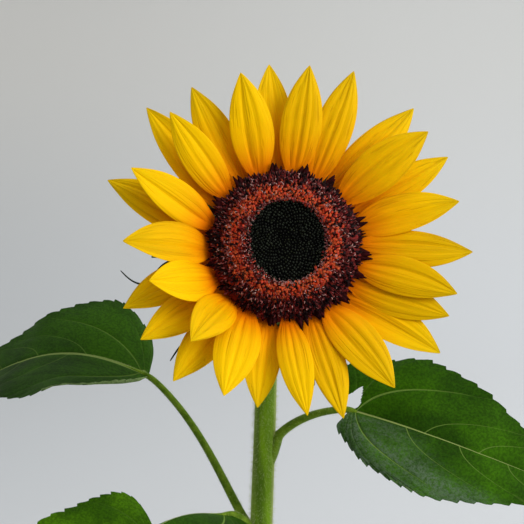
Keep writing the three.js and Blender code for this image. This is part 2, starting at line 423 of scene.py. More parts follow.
def grey(value):
    return (value, value, value, 1)


def easeBetween(tree, value, low, high, atLow=0.0, atHigh=1.0):
    sockets = {"Value": value, "From Min": low, "From Max": high, "To Min": atLow, "To Max": atHigh}
    return addNode(tree, "ShaderNodeMapRange", sockets, interpolation_type="SMOOTHSTEP").outputs[0]


def textureSpace(tree, output, scale):
    coordinates = tree.nodes.new("ShaderNodeTexCoord").outputs[output]
    return addNode(tree, "ShaderNodeMapping", {"Vector": coordinates, "Scale": scale}).outputs[0]


def partsOf(tree, vector):
    return addNode(tree, "ShaderNodeSeparateXYZ", {"Vector": vector}).outputs


def noiseOf(tree, space, scale=1.0, detail=3.0, roughness=0.55):
    sockets = {"Vector": space, "Scale": scale, "Detail": detail, "Roughness": roughness}
    return addNode(tree, "ShaderNodeTexNoise", sockets).outputs["Fac"]


def coat(tree, shader, colour, height, distance, strength):
    # the finished colour with its fine relief
    tree.links.new(colour, shader.inputs["Base Color"])
    sockets = {"Height": height, "Distance": distance, "Strength": strength}
    node = addNode(tree, "ShaderNodeBump", sockets)
    tree.links.new(node.outputs["Normal"], shader.inputs["Normal"])


def petalMaterial(name, look):
    material, tree, shader = newMaterial(name, look)
    coordinates = tree.nodes.new("ShaderNodeTexCoord").outputs
    parts, place = [partsOf(tree, coordinates[kind]) for kind in ("UV", "Object")]
    # the streaks run along the floret and differ from one floret to the next
    drift = times(tree, plus(tree, place["X"], times(tree, place["Z"], 1.7)), 34)

    def streaks(across, along, detail):
        sockets = {"X": times(tree, parts["X"], across), "Y": times(tree, parts["Y"], along), "Z": drift}
        return noiseOf(tree, addNode(tree, "ShaderNodeCombineXYZ", sockets).outputs[0], 1, detail)

    stops = [(where, paint(*colour)) for where, colour in look["colours"]]
    lengthwise = ramp(tree, parts["Y"], stops)
    fine, broad = streaks(42, 1.6, 4), streaks(9, 0.8, 2)
    lines = streaks(13, 0.8, 1)
    fineShade = ramp(tree, fine, [(0.32, grey(0.94)), (0.62, grey(1.02))])
    broadShade = ramp(tree, broad, [(0.36, grey(look["shade"])), (0.58, grey(1.03))])
    lineShade = ramp(tree, lines, [(0.33, (0.7, 0.62, 0.5, 1)), (0.4, grey(1))])
    colour = mixColour(tree, "MULTIPLY", 0.5, lengthwise, fineShade)
    colour = mixColour(tree, "MULTIPLY", 0.8, colour, broadShade)
    colour = mixColour(tree, "MULTIPLY", look["lines"], colour, lineShade)
    relief = plus(tree, fine, times(tree, easeBetween(tree, lines, 0.33, 0.43), 0.8))
    coat(tree, shader, colour, relief, 0.24 * mm, 0.8)
    return material


petalFinish = {
    "roughness": 0.52, "specular": 0.22, "tint": (1.0, 0.78, 0.05, 1),
    "glow": 0.1, "glowColour": (1.0, 0.45, 0.02), "glowDepth": 0.6 * mm,
}
# painted shade: the middle look is a darker copy of the front one, and the middle and back looks darken their
# streaks and lines more than the front
petalLooks = {  # the colours run from root to tip
    "front": {
        "lines": 0.18,
        "shade": 0.93,
        "colours": [
            (0, (214, 90, 2)), (0.12, (236, 122, 2)), (0.22, (245, 154, 2)),
            (0.38, (248, 182, 2)), (0.6, (248, 194, 2)), (1, (247, 200, 4)),
        ],
    },
    "middle": {
        "lines": 0.4,
        "shade": 0.86,
        "colours": [
            (0, (222, 94, 2)), (0.12, (246, 134, 2)), (0.26, (244, 160, 2)),
            (0.45, (238, 178, 2)), (1, (229, 186, 4)),
        ],
    },
    "back": {
        "lines": 0.45,
        "shade": 0.86,
        "colours": [
            (0, (218, 98, 2)), (0.2, (246, 142, 2)), (0.4, (252, 178, 2)),
            (0.7, (247, 193, 2)), (1, (234, 193, 8)),
        ],
    },
    "under": {
        "lines": 0.36,
        "shade": 0.84,
        "colours": [(0, (206, 144, 22)), (0.3, (230, 172, 22)), (0.7, (236, 186, 26)), (1, (222, 186, 30))],
    },
}
petalSkins = {}
for name, look in petalLooks.items():
    petalSkins[name] = petalMaterial(f"{name}Petal", {**petalFinish, **look})

# side veins, base to tip: the row each one follows and how strongly it shows
leafVeins = {
    "laterals": [(0.2, 0.1), (0.4, 0.2), (0.66, 1), (0.798, 0.85), (0.866, 0.75), (0.925, 0.6), (0.964, 0.5)],
    "shift": 0.012,  # how far one side's veins sit behind the other's
    "basal": 0.715,  # rows up to this one all leave from the base
    "bend": 0.25,  # how straight a vein runs out before it turns towards the tip
}


def leafMaterial(name, look):
    material, tree, shader = newMaterial(name, look)
    uv = tree.nodes.new("ShaderNodeTexCoord").outputs["UV"]
    parts = partsOf(tree, uv)
    offset = reckon(tree, "SUBTRACT", parts["X"], 0.5)
    side = reckon(tree, "SIGN", offset)
    outward = times(tree, reckon(tree, "ABSOLUTE", offset), 2.0)
    place = plus(tree, parts["Y"], times(tree, side, leafVeins["shift"]))
    # rows crowd together near the base, so a vein's width is reckoned from how far apart they lie
    bend = leafVeins["bend"]
    bent = times(tree, reckon(tree, "POWER", outward, 3.0), 1 - bend)
    bent = plus(tree, times(tree, outward, bend), bent)
    beyond = reckon(tree, "GREATER_THAN", parts["Y"], leafVeins["basal"])
    near = plus(tree, times(tree, beyond, 3.4), 0.05)
    apart = plus(tree, times(tree, bent, reckon(tree, "SUBTRACT", 1.3, near)), near)
    fading = easeBetween(tree, outward, 0.5, 1.0, 1.0, 0.2)
    lateralMask = 0.0
    for lateral, strength in leafVeins["laterals"]:
        distance = times(tree, reckon(tree, "ABSOLUTE", reckon(tree, "SUBTRACT", place, lateral)), apart)
        line = easeBetween(tree, distance, look["veinWidth"] * 0.5, look["veinWidth"], strength, 0.0)
        lateralMask = reckon(tree, "MAXIMUM", line, lateralMask)
    lateralMask = times(tree, times(tree, lateralMask, fading), look["lateralShow"])
    midWidth = easeBetween(tree, parts["Y"], leafVeins["basal"], 0.95, look["midrib"], look["midrib"] * 0.7)
    midMask = easeBetween(tree, reckon(tree, "DIVIDE", outward, midWidth), 0.6, 1.0, 1.0, 0.0)
    space = textureSpace(tree, "Object", (1, 1, 1))
    wobble = noiseOf(tree, space, 60, 2)
    mottle = noiseOf(tree, space, 34, 3)
    speck = noiseOf(tree, space, 900, 2)
    sockets = {"Vector": space, "Scale": 220.0, "Detail": 2.0}
    warp = addNode(tree, "ShaderNodeTexNoise", sockets).outputs["Color"]
    warped = addNode(tree, "ShaderNodeMix", {0: 0.004, 4: space, 5: warp}, data_type="VECTOR").outputs[1]
    sockets = {"Vector": warped, "Scale": 520.0}
    cells = addNode(tree, "ShaderNodeTexVoronoi", sockets, feature="DISTANCE_TO_EDGE").outputs["Distance"]
    netMask = easeBetween(tree, cells, 0.02, 0.2, 1.0, 0.0)
    blade = ramp(tree, mottle, [(0.38, paint(*look["dark"])), (0.62, paint(*look["bright"]))])
    blade = mixColour(tree, "MULTIPLY", 1, blade, ramp(tree, speck, [(0.4, grey(0.74)), (0.6, grey(1.18))]))
    # a painted sheen lies on one side of the blade, by its base: greyish patches where light glances off it
    alongVeins = addNode(tree, "ShaderNodeMapping", {"Vector": uv, "Scale": (5, 8, 1)}).outputs[0]
    sheenPatch = easeBetween(tree, noiseOf(tree, alongVeins, 1, 5, 0.75), 0.36, 0.62, 0.25, 1.0)
    sheenPatch = times(tree, sheenPatch, easeBetween(tree, noiseOf(tree, space, 700, 4, 0.8), 0.4, 0.6, 0.2, 1.0))
    sheenPatch = times(tree, sheenPatch, easeBetween(tree, offset, 0.0, 0.06))
    sheenPatch = times(tree, sheenPatch, easeBetween(tree, parts["Y"], 0.7, 0.84, look["glancingSheen"], 0.0))
    blade = mixColour(tree, "MIX", sheenPatch, blade, paint(*look["glancingSheenColour"]))
    # fine ridges run along one half of the blade, and their dark streaks darken that half as painted shade
    ridges = addNode(tree, "ShaderNodeMapping", {"Vector": uv, "Scale": (30, 3, 1)}).outputs[0]
    ridgedShaded = ramp(tree, noiseOf(tree, ridges, 1, 4, 0.7), [(0.36, grey(0.62)), (0.64, grey(1.06))])
    ridgedShadeMask = easeBetween(tree, offset, -0.04, 0.02, look["ridges"], look["ridges"] * 0.15)
    blade = mixColour(tree, "MULTIPLY", ridgedShadeMask, blade, ridgedShaded)
    blade = mixColour(tree, "MIX", times(tree, netMask, look["net"]), blade, paint(*look["netColour"]))
    midShown = times(tree, midMask, look["midribShow"])
    veined = mixColour(tree, "MIX", times(tree, lateralMask, 0.85), blade, paint(*look["lateralColour"]))
    veined = mixColour(tree, "MIX", midShown, veined, paint(*look["midribColour"]))
    raised = times(tree, reckon(tree, "MAXIMUM", lateralMask, midMask), look["veinRise"])
    fine = plus(tree, times(tree, netMask, look["netRise"]), times(tree, speck, 0.3))
    height = plus(tree, raised, plus(tree, fine, times(tree, wobble, 0.6)))
    coat(tree, shader, veined, height, 0.25 * mm, 0.8)
    return material


leafTopLook = {
    "dark": (33, 68, 3), "bright": (56, 102, 4),
    "roughness": 0.55, "specular": 0.1, "tint": (0.72, 1.0, 0.5, 1),
    "sheen": 0.02, "sheenTint": paint(196, 214, 160),
    "veinWidth": 0.0036, "veinRise": -0.5,
    "lateralShow": 1.0, "lateralColour": (116, 146, 64),
    "midrib": 0.024, "midribShow": 1.0, "midribColour": (146, 164, 92),
    # how strongly the painted sheen patch shows, and its colour
    "glancingSheen": 0.0, "glancingSheenColour": (98, 118, 96),
    "ridges": 0.0,
    "net": 0.1, "netRise": -0.16, "netColour": (60, 94, 16),
}
# a copy of the blade's tones painted darker as shade, with fine ridges that darken one half
ridgedShadedLook = {
    "dark": (28, 58, 5), "bright": (47, 86, 6),
    "lateralShow": 0.5, "midrib": 0.052, "midribShow": 0.7, "ridges": 1.0,
}
underLook = {
    "dark": (98, 124, 66), "bright": (122, 146, 88),
    "roughness": 0.7, "specular": 0.2, "sheen": 0.25,
    "veinWidth": 0.008, "veinRise": 1.0, "lateralColour": (164, 178, 124),
    "midrib": 0.04, "midribColour": (180, 192, 138),
    "net": 0.35, "netRise": 0.5, "netColour": (146, 164, 112),
}
leafKinds = {
    "plain": {},
    # a painted sheen patch by the base
    "sheenPatch": {"glancingSheen": 0.85},
    # darker tones and a darkened half: painted shade
    "ridgedShaded": ridgedShadedLook,
    # lighter tones: a copy of the blade painted as light
    "paintedLit": {"dark": (52, 92, 4), "bright": (84, 134, 8)},
    "under": underLook,
}
leafSkins = {}
for name, look in leafKinds.items():
    leafSkins[name] = leafMaterial(f"{name}Leaf", {**leafTopLook, **look})


def wear(piece, *materials):
    for material in materials:
        piece.data.materials.append(material)


def plainMaterial(name, look):
    # two tones by a noise on the piece's place, with a fine relief of its own
    material, tree, shader = newMaterial(name, look)
    space = textureSpace(tree, "Object", look.get("stretch", (1, 1, 1)))
    tone = noiseOf(tree, space, look["grain"], look.get("detail", 3.0))
    colour = ramp(tree, tone, [(0.35, paint(*look["dark"])), (0.65, paint(*look["bright"]))])
    if "speck" in look:
        grain, reach, tint = look["speck"]
        mask = easeBetween(tree, noiseOf(tree, space, grain, 2), *reach)
        colour = mixColour(tree, "MIX", mask, colour, paint(*tint))
    relief = noiseOf(tree, space, look["grain"] * look.get("finer", 4), 3)
    coat(tree, shader, colour, relief, look["relief"] * mm, 0.6)
    return material


print("materials made")


# The ray florets: a few master blades, each copied, curled and set on its own node's line.
rayLook = {
    "across": 20,
    "along": 22,
    "wider": 1.04,  # against the frame's straight-sided blades
    "sunk": 3.2 * mm,  # how far the root runs in under the disk
    "thick": 0.3 * mm,
    "width": [
        (0, 0.28), (0.06, 0.42), (0.12, 0.6), (0.2, 0.79), (0.3, 0.93), (0.42, 1), (0.55, 0.98),
        (0.68, 0.86), (0.8, 0.64), (0.89, 0.39), (0.96, 0.17), (1, 0.02),
    ],
    "relief": [(0, -1.2), (0.07, -0.2), (0.18, 0.9), (0.5, 1), (0.8, 0.8), (0.95, 0.35), (1, 0)],
    "curl": 0.5,
    "groove": 0.034,  # how wide a groove is, against the floret's width
    "rows": (-3.5 * mm, -5.8 * mm),  # how far behind the rim the front and the middle row's roots may lie
}
# grooves are (place across, depth) against the width; arch below nought makes a channel
rayKinds = [
    {"grooves": [(0.36, 0.05), (0.62, 0.036)], "fold": 0.018, "arch": 0.06},
    {"grooves": [(0.3, 0.026), (0.5, 0.05), (0.72, 0.03)], "fold": -0.014, "arch": 0.07},
    {"grooves": [(0.42, 0.056), (0.68, 0.026)], "fold": 0.026, "arch": 0.05},
    {"grooves": [(0.33, 0.034), (0.58, 0.052)], "fold": -0.02, "arch": -0.02},
]


def standingBlade(name, across, along):
    # a flat grid that stands on its root, one metre tall and wide, facing -Y
    deselectAll()
    upright = {"location": (0, 0, 0.5), "rotation": (radians(90), 0, 0)}
    bpy.ops.mesh.primitive_grid_add(x_subdivisions=across, y_subdivisions=along, size=1, **upright)
    return added(name)


def shapeBlade(blade, across, along, columnRise, rowWidth, rowRelief=lambda share: 1):
    # columns move for the cross-section, then rows shrink to the outline
    columns = across + 1
    editPoints(blade)
    for column in range(columns):
        pick(blade, lambda corner: corner.index % columns == column)
        shift(0, -columnRise(column / across), 0)
    for row in range(along + 1):
        share = row / along
        pick(blade, lambda corner: corner.index // columns == row)
        widen(rowWidth(share), rowRelief(share), 1, (0, 0, share))
    leaveEdit()


def rayMaster(number, kind):
    blade = standingBlade(f"rayMaster{number}", rayLook["across"], rayLook["along"])

    def rise(share):
        grooves = 0
        for place, depth in kind["grooves"]:
            grooves += depth * exp(-(((share - place) / rayLook["groove"]) ** 2))
        fold = kind["fold"] * cos(2 * pi * (share - kind["grooves"][0][0]) * 1.5)
        return -grooves - fold - kind["arch"] * (2 * share - 1) ** 2

    shapeBlade(
        blade, rayLook["across"], rayLook["along"], rise,
        lambda share: through(rayLook["width"], share),
        lambda share: through(rayLook["relief"], share),
    )
    return blade


def bendBlade(blade, curl, sway, twist):
    for method, axis, angle in (("TWIST", "Z", twist), ("BEND", "Y", sway), ("BEND", "X", curl)):
        if abs(angle) > 1e-3:
            applyModifier(blade, "SIMPLE_DEFORM", deform_method=method, deform_axis=axis, angle=angle)


def fitBlade(blade, columns, root, tip, front):
    # lays the bent blade's own root and tip on the wanted ones
    corners = blade.data.vertices
    ownRoot = middle([corner.co for corner in corners[:columns]])
    ownTip = middle([corner.co for corner in corners[len(corners) - columns:]])
    own = axesAt(ownRoot, ownTip - ownRoot, Vector((0, -1, 0)))
    size = (tip - root).length / (ownTip - ownRoot).length
    blade.matrix_world = axesAt(root, tip - root, front) @ Matrix.Scale(size, 4) @ own.inverted()
    applyPlace(blade)


def measureRay(node):
    corners = sorted(cornersOf(node), key=lambda p: (p - headCentre).length)
    root, tip = middle(corners[:6]), middle(corners[-6:])
    along = (tip - root).normalized()
    across, wide = spread(corners, root, along)
    front = along.cross(across).normalized()
    if front.dot(headAxis) < 0:
        front.negate()
    return root, tip, front, wide


rayLines = {name: measureRay(name) for name in sorted(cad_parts) if name.startswith("ray_")}
rayRows = {}
frontTurns = []  # where the two front rows' florets leave the disk, in degrees
frontEnd, middleEnd = rayLook["rows"]
for name, line in rayLines.items():
    inHead = toHead @ line[0]
    rayRows[name] = "front" if inHead.z > frontEnd else "middle" if inHead.z > middleEnd else "back"
    if rayRows[name] != "back":
        frontTurns.append(degrees(atan2(inHead.y, inHead.x)) % 360)
frontTurns.sort()


def makeRays():
    luck = random.Random(11)
    masters = [rayMaster(i, kind) for i, kind in enumerate(rayKinds)]
    for number, (node, (root, tip, front, wide)) in enumerate(rayLines.items()):
        master = masters[luck.randrange(len(masters))]
        start = root - (tip - root).normalized() * rayLook["sunk"]
        wide *= rayLook["wider"]
        size = (wide * luck.choice((-1, 1)), wide, (tip - start).length)
        ray = sizedCopy(master, f"rayFloret{number + 1:02d}", *size)
        curl = rayLook["curl"] + luck.uniform(-0.12, 0.2)
        bendBlade(ray, curl, luck.uniform(-0.16, 0.16), luck.uniform(-0.22, 0.22))
        fitBlade(ray, rayLook["across"] + 1, start, tip, front)
        closeUp(ray)
        faceTowards(ray, headAxis)
        row = rayRows[node]
        if row == "front" and (root - headCentre).dot(headRight) > 4 * mm:
            row = "middle"  # the front florets on the lamp's side get the middle row's darker tone, painted shade for their faces turned from the lamp
        wear(ray, petalSkins[row], petalSkins["under"])
        applyModifier(ray, "SOLIDIFY", thickness=rayLook["thick"], offset=-1, material_offset=1)
        applyModifier(ray, "SUBSURF", levels=1, render_levels=1)
        smooth(ray, 80)
        settle(ray, "ray_floret", node)
    for master in masters:
        drop(master)
    print("ray florets:", len(rayLines))


makeRays()


# The disk: a domed bed with dark buds in its core, and open florets, points and curled tips on its ring.
diskLook = {
    "bed": [  # radius and height
        (0, 3.8), (8, 4.0), (14, 4.2), (17, 4.4), (21, 4.8), (25, 3.8), (28, 1.8),
        (30, -0.8), (31, -2.8), (32, -4.6),
    ],
    "bedRings": [0.97, 0.94, 0.9, 0.84, 0.76, 0.66, 0.55, 0.42, 0.25, 0.1],
    "buds": 820,
    "florets": 2900,
    "spikes": 1400,
    "tips": 900,
    "edge": (29.6, 31.6),  # where the florets stop, in front of a ray and between two
    # how far out the dark of the core and the red band lie, how much further on one side, and where
    "dim": (17.4, 2.4, 205),
    "band": (21.4, 1.9, 185),
    "flame": (0.85, 0.5, 2.5),  # how many, how far inside the band's line, and over what width
    "brick": (0.8, 0, 3.3),
    "edgePales": 96,
    "gapPales": 3,  # the bigger points between two rays
    "crowded": (150, 240),  # the side where the rays press close together, in degrees
    "tints": {  # dark and bright tone, then roughness, specular and glow
        "bed": ((96, 26, 16), (150, 48, 32), 0.8),
        "coreBed": ((2, 2, 2), (7, 7, 6), 0.8, 0.02),
        "coreBuds": ((6, 7, 5), (44, 50, 38), 0.42, 0.2),
        "coreBudsGreen": ((24, 30, 17), (56, 62, 40), 0.5, 0.14),
        "floretsFlame": ((244, 76, 36), (252, 110, 60), 0.6, 0.16, 0.5),
        "floretsBrick": ((210, 54, 34), (244, 86, 56), 0.6, 0.16, 0.5),
        "floretsMaroon": ((86, 20, 20), (148, 40, 38)),
        "floretsNight": ((16, 4, 7), (40, 11, 14)),
        "spikesDark": ((14, 3, 5), (34, 8, 11), 0.5),
        "spikesMaroon": ((96, 34, 34), (142, 64, 60), 0.5),
        "curledTips": ((170, 116, 112), (226, 186, 178)),
        "curledTipsRose": ((124, 58, 60), (178, 104, 100)),
        "edgePales": ((22, 5, 7), (64, 14, 16), 0.7, 0.06),
    },
}


def floretTint(name):
    dark, bright, *finish = diskLook["tints"][name]
    look = dict(zip(("roughness", "specular", "glow"), finish))
    usual = {"roughness": 0.6, "specular": 0.16, "grain": 420, "relief": 0.05}
    return plainMaterial(f"{name}Tint", {"dark": dark, "bright": bright, **usual, **look})


def bedHeight(radius):
    return through(diskLook["bed"], radius / mm) * mm


def bedSlope(radius):
    return (bedHeight(radius + 0.3 * mm) - bedHeight(radius - 0.3 * mm)) / (0.6 * mm)


def onBed(angle, radius, sink=0.0, lean=0.0, spin=0.0, size=(1, 1, 1)):
    # a matrix that stands a floret on the bed, leaning outwards by lean
    out = Vector((cos(angle), sin(angle), 0))
    slope = bedSlope(max(radius, 0.31 * mm))
    up = (Vector((0, 0, 1)) - out * slope * 0.7 + out * lean).normalized()
    place = out * radius + Vector((0, 0, bedHeight(radius) - sink))
    stand = axesAt(place, up, -out if abs(up.dot(out)) < 0.99 else Vector((0, 0, 1)))
    return stand @ Matrix.Rotation(spin, 4, "Z") @ Matrix.Diagonal((*size, 1))


def makeBed():
    # a drum whose top is inset ring by ring and lifted to the dome's line
    radius, height = diskRadius, bedHeight(diskRadius)
    bed = drum("diskBed", 96, radius, min(alongHead(p) for p in ringCorners) - rimHeight, height)
    for share in diskLook["bedRings"]:
        bpy.ops.mesh.inset(thickness=radius - share * diskRadius)
        radius = share * diskRadius
        shift(0, 0, bedHeight(radius) - height)
        height = bedHeight(radius)
    leaveEdit()
    wear(bed, floretTint("bed"), floretTint("coreBed"))
    editPoints(bed)
    reach = coreRadius * 1.03
    pickFaces(bed, lambda face: face.normal.z > 0.5 and face.calc_center_median().xy.length < reach)
    bed.active_material_index = 1
    bpy.ops.object.material_slot_assign()
    leaveEdit()
    smooth(bed, 50)
    return bed


def starFloret(name):
    # an open tube with five pointed lobes, closed by a funnel
    deselectAll()
    bpy.ops.mesh.primitive_cylinder_add(
        vertices=10, radius=0.4 * mm, depth=2 * mm, location=(0, 0, mm), end_fill_type="TRIFAN"
    )
    floret = added(name)
    top = 1.9 * mm
    editPoints(floret)
    pick(floret, lambda corner: corner.co.z < 0.1 * mm)
    widen(0.6, 0.6, 1)
    pick(floret, lambda corner: corner.co.z > top and corner.co.xy.length < 0.1 * mm)
    shift(0, 0, -0.8 * mm)
    pick(floret, lambda corner: corner.co.z > top and corner.index % 4 < 2)
    widen(1.75, 1.75, 1)
    shift(0, 0, 0.6 * mm)
    leaveEdit()
    return floret


def grownPost(name, sides, radius, steps):
    # a post grown step by step: how far it goes out and up in millimetres, and its width against its root's
    place, height, width = [step * mm for step in steps[0][:2]] + [steps[0][2]]
    post = drum(name, sides, radius * mm, 0, height)
    shift(place, 0, 0)
    widen(width, width, 1, (place, 0, height))
    for out, up, wide in steps[1:]:
        place, height = place + out * mm, height + up * mm
        growOn(out * mm, up * mm, wide / width, (place, 0, height))
        width = wide
    leaveEdit()
    return post


def flatPoint(name, width, height, thick):
    # a small keeled scale that narrows to a sharp tip
    blade = standingBlade(name, 2, 4)
    outline = [(0, 0.9), (0.25, 0.95), (0.5, 0.66), (0.75, 0.34), (1, 0.03)]
    shapeBlade(blade, 2, 4, lambda share: -0.25 * abs(2 * share - 1), lambda share: through(outline, share))
    blade.scale = (width, width, height)
    applyPlace(blade)
    applyModifier(blade, "SOLIDIFY", thickness=thick, offset=0)
    closeUp(blade)
    return blade


def edgeAt(angle):
    # the ring's own edge, drawn in where a ray floret lies against it
    nearest = min(abs((degrees(angle) - turn + 180) % 360 - 180) for turn in frontTurns)
    low, high = diskLook["edge"]
    return (low + (high - low) * min(1, nearest / 9) ** 2) * mm


def makeDisk():
    luck = random.Random(23)
    settleOnHead(makeBed(), "disk_ring", "disk_ring", "disk_core")

    def spreadOut(master, groups, slotName="disk_ring"):
        # one joined piece for each tint
        for name, places in groups.items():
            piece = joinedCopies(name, master, places)
            wear(piece, floretTint(name))
            settleOnHead(piece, slotName)
        drop(master)

    def coreAt(angle):
        # the core is a little longer one way than the other
        return coreRadius * (0.98 + 0.12 * sin(angle) ** 2)

    def ringPlace(i, count, power=1.0):
        share = ((i + 0.5) / count) ** power
        angle = i * goldenTurn + luck.gauss(0, 0.025)
        inner = coreAt(angle) * 0.95
        radius = sqrt(inner**2 + share * (edgeAt(angle) ** 2 - inner**2)) + luck.gauss(0, 0.25) * mm
        return angle, radius, share

    def dimAt(angle):
        reach, more, side = diskLook["dim"]
        return (reach + more * max(0, cos(angle - radians(side))) + luck.gauss(0, 0.5)) * mm

    def likely(kind, inside):
        most, further, width = diskLook[kind]
        return most * exp(-(((further - inside) / width) ** 2))

    groups = {"coreBuds": [], "coreBudsGreen": []}
    for i in range(diskLook["buds"]):
        angle = i * goldenTurn
        share = (i + 0.5) / diskLook["buds"]
        radius = coreAt(angle) * 1.12 * sqrt(share) + luck.gauss(0, 0.2) * mm
        keep = luck.random() > (radius / coreAt(angle) - 0.97) / 0.15
        size = 0.7 + 0.3 * share + luck.uniform(-0.15, 0.15)
        tall = size * luck.uniform(0.6, 1.4)
        lean, spin = luck.gauss(0, 0.15), luck.uniform(0, 6)
        green = luck.random() < 0.75 * exp(-share / 0.04) + 0.06
        if green:
            size *= 0.7
        if keep:
            place = onBed(angle, abs(radius), 0.4 * mm, lean, spin, (size, size, tall))
            groups["coreBudsGreen" if green else "coreBuds"].append(place)
    spreadOut(grownPost("bud", 5, 0.54, [(0, 0.8, 1.05), (0, 0.5, 0.7), (0, 0.2, 0.2)]), groups, "disk_core")

    groups = {"floretsFlame": [], "floretsBrick": [], "floretsMaroon": [], "floretsNight": []}
    for i in range(diskLook["florets"]):
        angle, radius, share = ringPlace(i, diskLook["florets"])
        size = luck.uniform(0.6, 1.0)
        lean, spin = 0.9 * share - 0.05 + luck.gauss(0, 0.25), luck.uniform(0, 6)
        reach, more, side = diskLook["band"]
        inside = reach + more * cos(angle - radians(side)) - radius / mm
        flame = likely("flame", inside)
        chance = luck.random()
        name = "floretsMaroon"
        if chance < flame:
            name = "floretsFlame"
        elif chance < flame + likely("brick", inside):
            name = "floretsBrick"
        if radius < dimAt(angle):
            name = "floretsMaroon" if chance < 0.8 else "floretsBrick"
            size *= 0.75
        if luck.random() < (0.06 if inside > -2 else 0.26):
            name = "floretsNight"
            size *= 1.15
        place = onBed(angle, radius, 0.4 * mm, lean, spin, (size, size, size * luck.uniform(0.7, 1.15)))
        groups[name].append(place)
    spreadOut(starFloret("floret"), groups)

    # anther tubes stand between the florets, darker and denser outwards
    groups = {"spikesDark": [], "spikesMaroon": []}
    for i in range(diskLook["spikes"]):
        angle, radius, share = ringPlace(i + 0.4, diskLook["spikes"], 0.6)
        tall = luck.uniform(0.55, 1.05) * (0.6 if radius < 23 * mm else 1)
        lean = 0.1 + 0.9 * share + luck.gauss(0, 0.28)
        place = onBed(angle + 0.4, radius, 0.2 * mm, lean, luck.uniform(0, 3), (1, 1, tall))
        groups["spikesMaroon" if luck.random() < 0.22 else "spikesDark"].append(place)
    spreadOut(grownPost("spike", 4, 0.3, [(0, 2.1, 1.1), (0, 0.9, 0.9), (0, 0.4, 0.25)]), groups)

    # pale curled tips, thickest just outside the core
    groups = {"curledTips": [], "curledTipsRose": []}
    for i in range(diskLook["tips"]):
        angle = luck.uniform(0, 2 * pi)
        inner, outer = coreAt(angle) * 0.93, dimAt(angle) + 0.8 * mm
        near = i % 2 == 0
        if near:
            radius, size, rise = luck.uniform(inner, outer), luck.uniform(0.6, 1.2), luck.uniform(-2.2, -1.2)
        else:
            start = outer + (2.5 * mm if i % 5 else 0)
            radius, size = luck.uniform(start, edgeAt(angle)), luck.uniform(0.9, 1.7)
            rise = luck.uniform(-3.0, -1.8)
        place = onBed(angle, radius, rise * mm, luck.gauss(0.2, 0.3), luck.uniform(0, 6), (size, size, size))
        # the light tips lie thicker to the left and below than to the upper right
        light = luck.random() < (0.5 if near else 0.45) - (0.5 if near else -0.1) * cos(angle - 0.9)
        groups["curledTips" if light else "curledTipsRose"].append(place)
    steps = [(0, 0.5, 1), (0.12, 0.25, 0.9), (0.25, 0.1, 0.8), (0.22, -0.12, 0.5)]
    spreadOut(grownPost("tip", 3, 0.13, steps), groups)

    places = []
    for i in range(diskLook["edgePales"]):
        angle = 2 * pi * (i + luck.uniform(-0.4, 0.4)) / diskLook["edgePales"]
        wide, long = luck.uniform(0.45, 0.95), luck.uniform(0.4, 0.85)
        lean, spin = luck.uniform(0.5, 1.6), luck.uniform(-0.5, 0.5)
        radius = edgeAt(angle) - luck.uniform(0, 1.2) * mm
        places.append(onBed(angle, radius, 0.4 * mm, lean, spin, (wide, wide, long)))
    for first, second in zip(frontTurns, frontTurns[1:] + [frontTurns[0] + 360]):
        for _ in range(diskLook["gapPales"]):
            angle = radians((first + second) / 2 + luck.gauss(0, 2.2))
            wide, long, lean = luck.uniform(0.9, 1.5), luck.uniform(0.9, 1.35), luck.uniform(1.1, 2.2)
            low, high = diskLook["crowded"]
            small = 0.6 if low < degrees(angle) % 360 < high else 1
            radius = (diskLook["edge"][0] + luck.uniform(0, 1)) * mm
            places.append(onBed(angle, radius, 0.4 * mm, lean, 0, (small * wide, small * wide, small * long)))
    spreadOut(flatPoint("pale", 3.0 * mm, 5.4 * mm, 0.3 * mm), {"edgePales": places})
    print("disk made")


makeDisk()


# The stem, the neck and the leaf stalks: ribbed tubes along the frame's own lines.
stemLook = {
    "ribs": 9,
    "ribDepth": 0.018,
    "sides": 40,
    "neckPull": (32 * mm, 22 * mm),  # how far the neck runs on straight from the stem and back from the cup
    "hairs": 1.6,
    "hairLength": 1.9 * mm,
    "skin": {
        "dark": (66, 104, 0), "bright": (106, 148, 2), "tint": (0.95, 1, 0.35, 1), "sheen": 0.9,
        "grain": 90, "stretch": (3.2, 3.2, 0.35), "detail": 4,
        "roughness": 0.5, "specular": 0.25, "relief": 0.18,
    },
}
stalkLook = {
    "leaving": 52,  # degrees above level as a stalk leaves the stem
    "rootRadius": 2.25 * mm,
    "endRadius": 1.5 * mm,
    "sunk": 7 * mm,  # how far a stalk's root runs back inside the stem, and then down
    "foot": (0.7, 1.15, 1.35),  # how wide the stalk is inside the stem and where it leaves it
    "hairs": 0.9,
    "hairLength": 1.2 * mm,
    "skin": {
        "dark": (72, 104, 10), "bright": (112, 140, 34), "tint": (0.8, 1, 0.3, 1), "sheen": 0.2,
        "grain": 260, "roughness": 0.5, "specular": 0.25, "relief": 0.12,
    },
}
hairLook = {
    "radius": 0.042 * mm,
    "tilt": 0.45,
    "skin": {
        "dark": (186, 204, 120), "bright": (226, 234, 170), "grain": 200, "roughness": 0.6, "relief": 0.02,
    },
}
hairSkin = plainMaterial("hairSkin", hairLook["skin"])


def ribbedRing(name, sides, ribs, depth):
    deselectAll()
    bpy.ops.curve.primitive_bezier_circle_add(radius=1)
    ring = newest(name)
    spline = ring.data.splines.new("POLY")
    spline.points.add(sides - 1)
    for i, point in enumerate(spline.points):
        angle = 2 * pi * i / sides
        reach = 1 + depth * cos(ribs * angle)
        point.co = (reach * cos(angle), reach * sin(angle), 0, 1)
    spline.use_cyclic_u = True
    ring.data.splines.remove(ring.data.splines[0])
    return ring


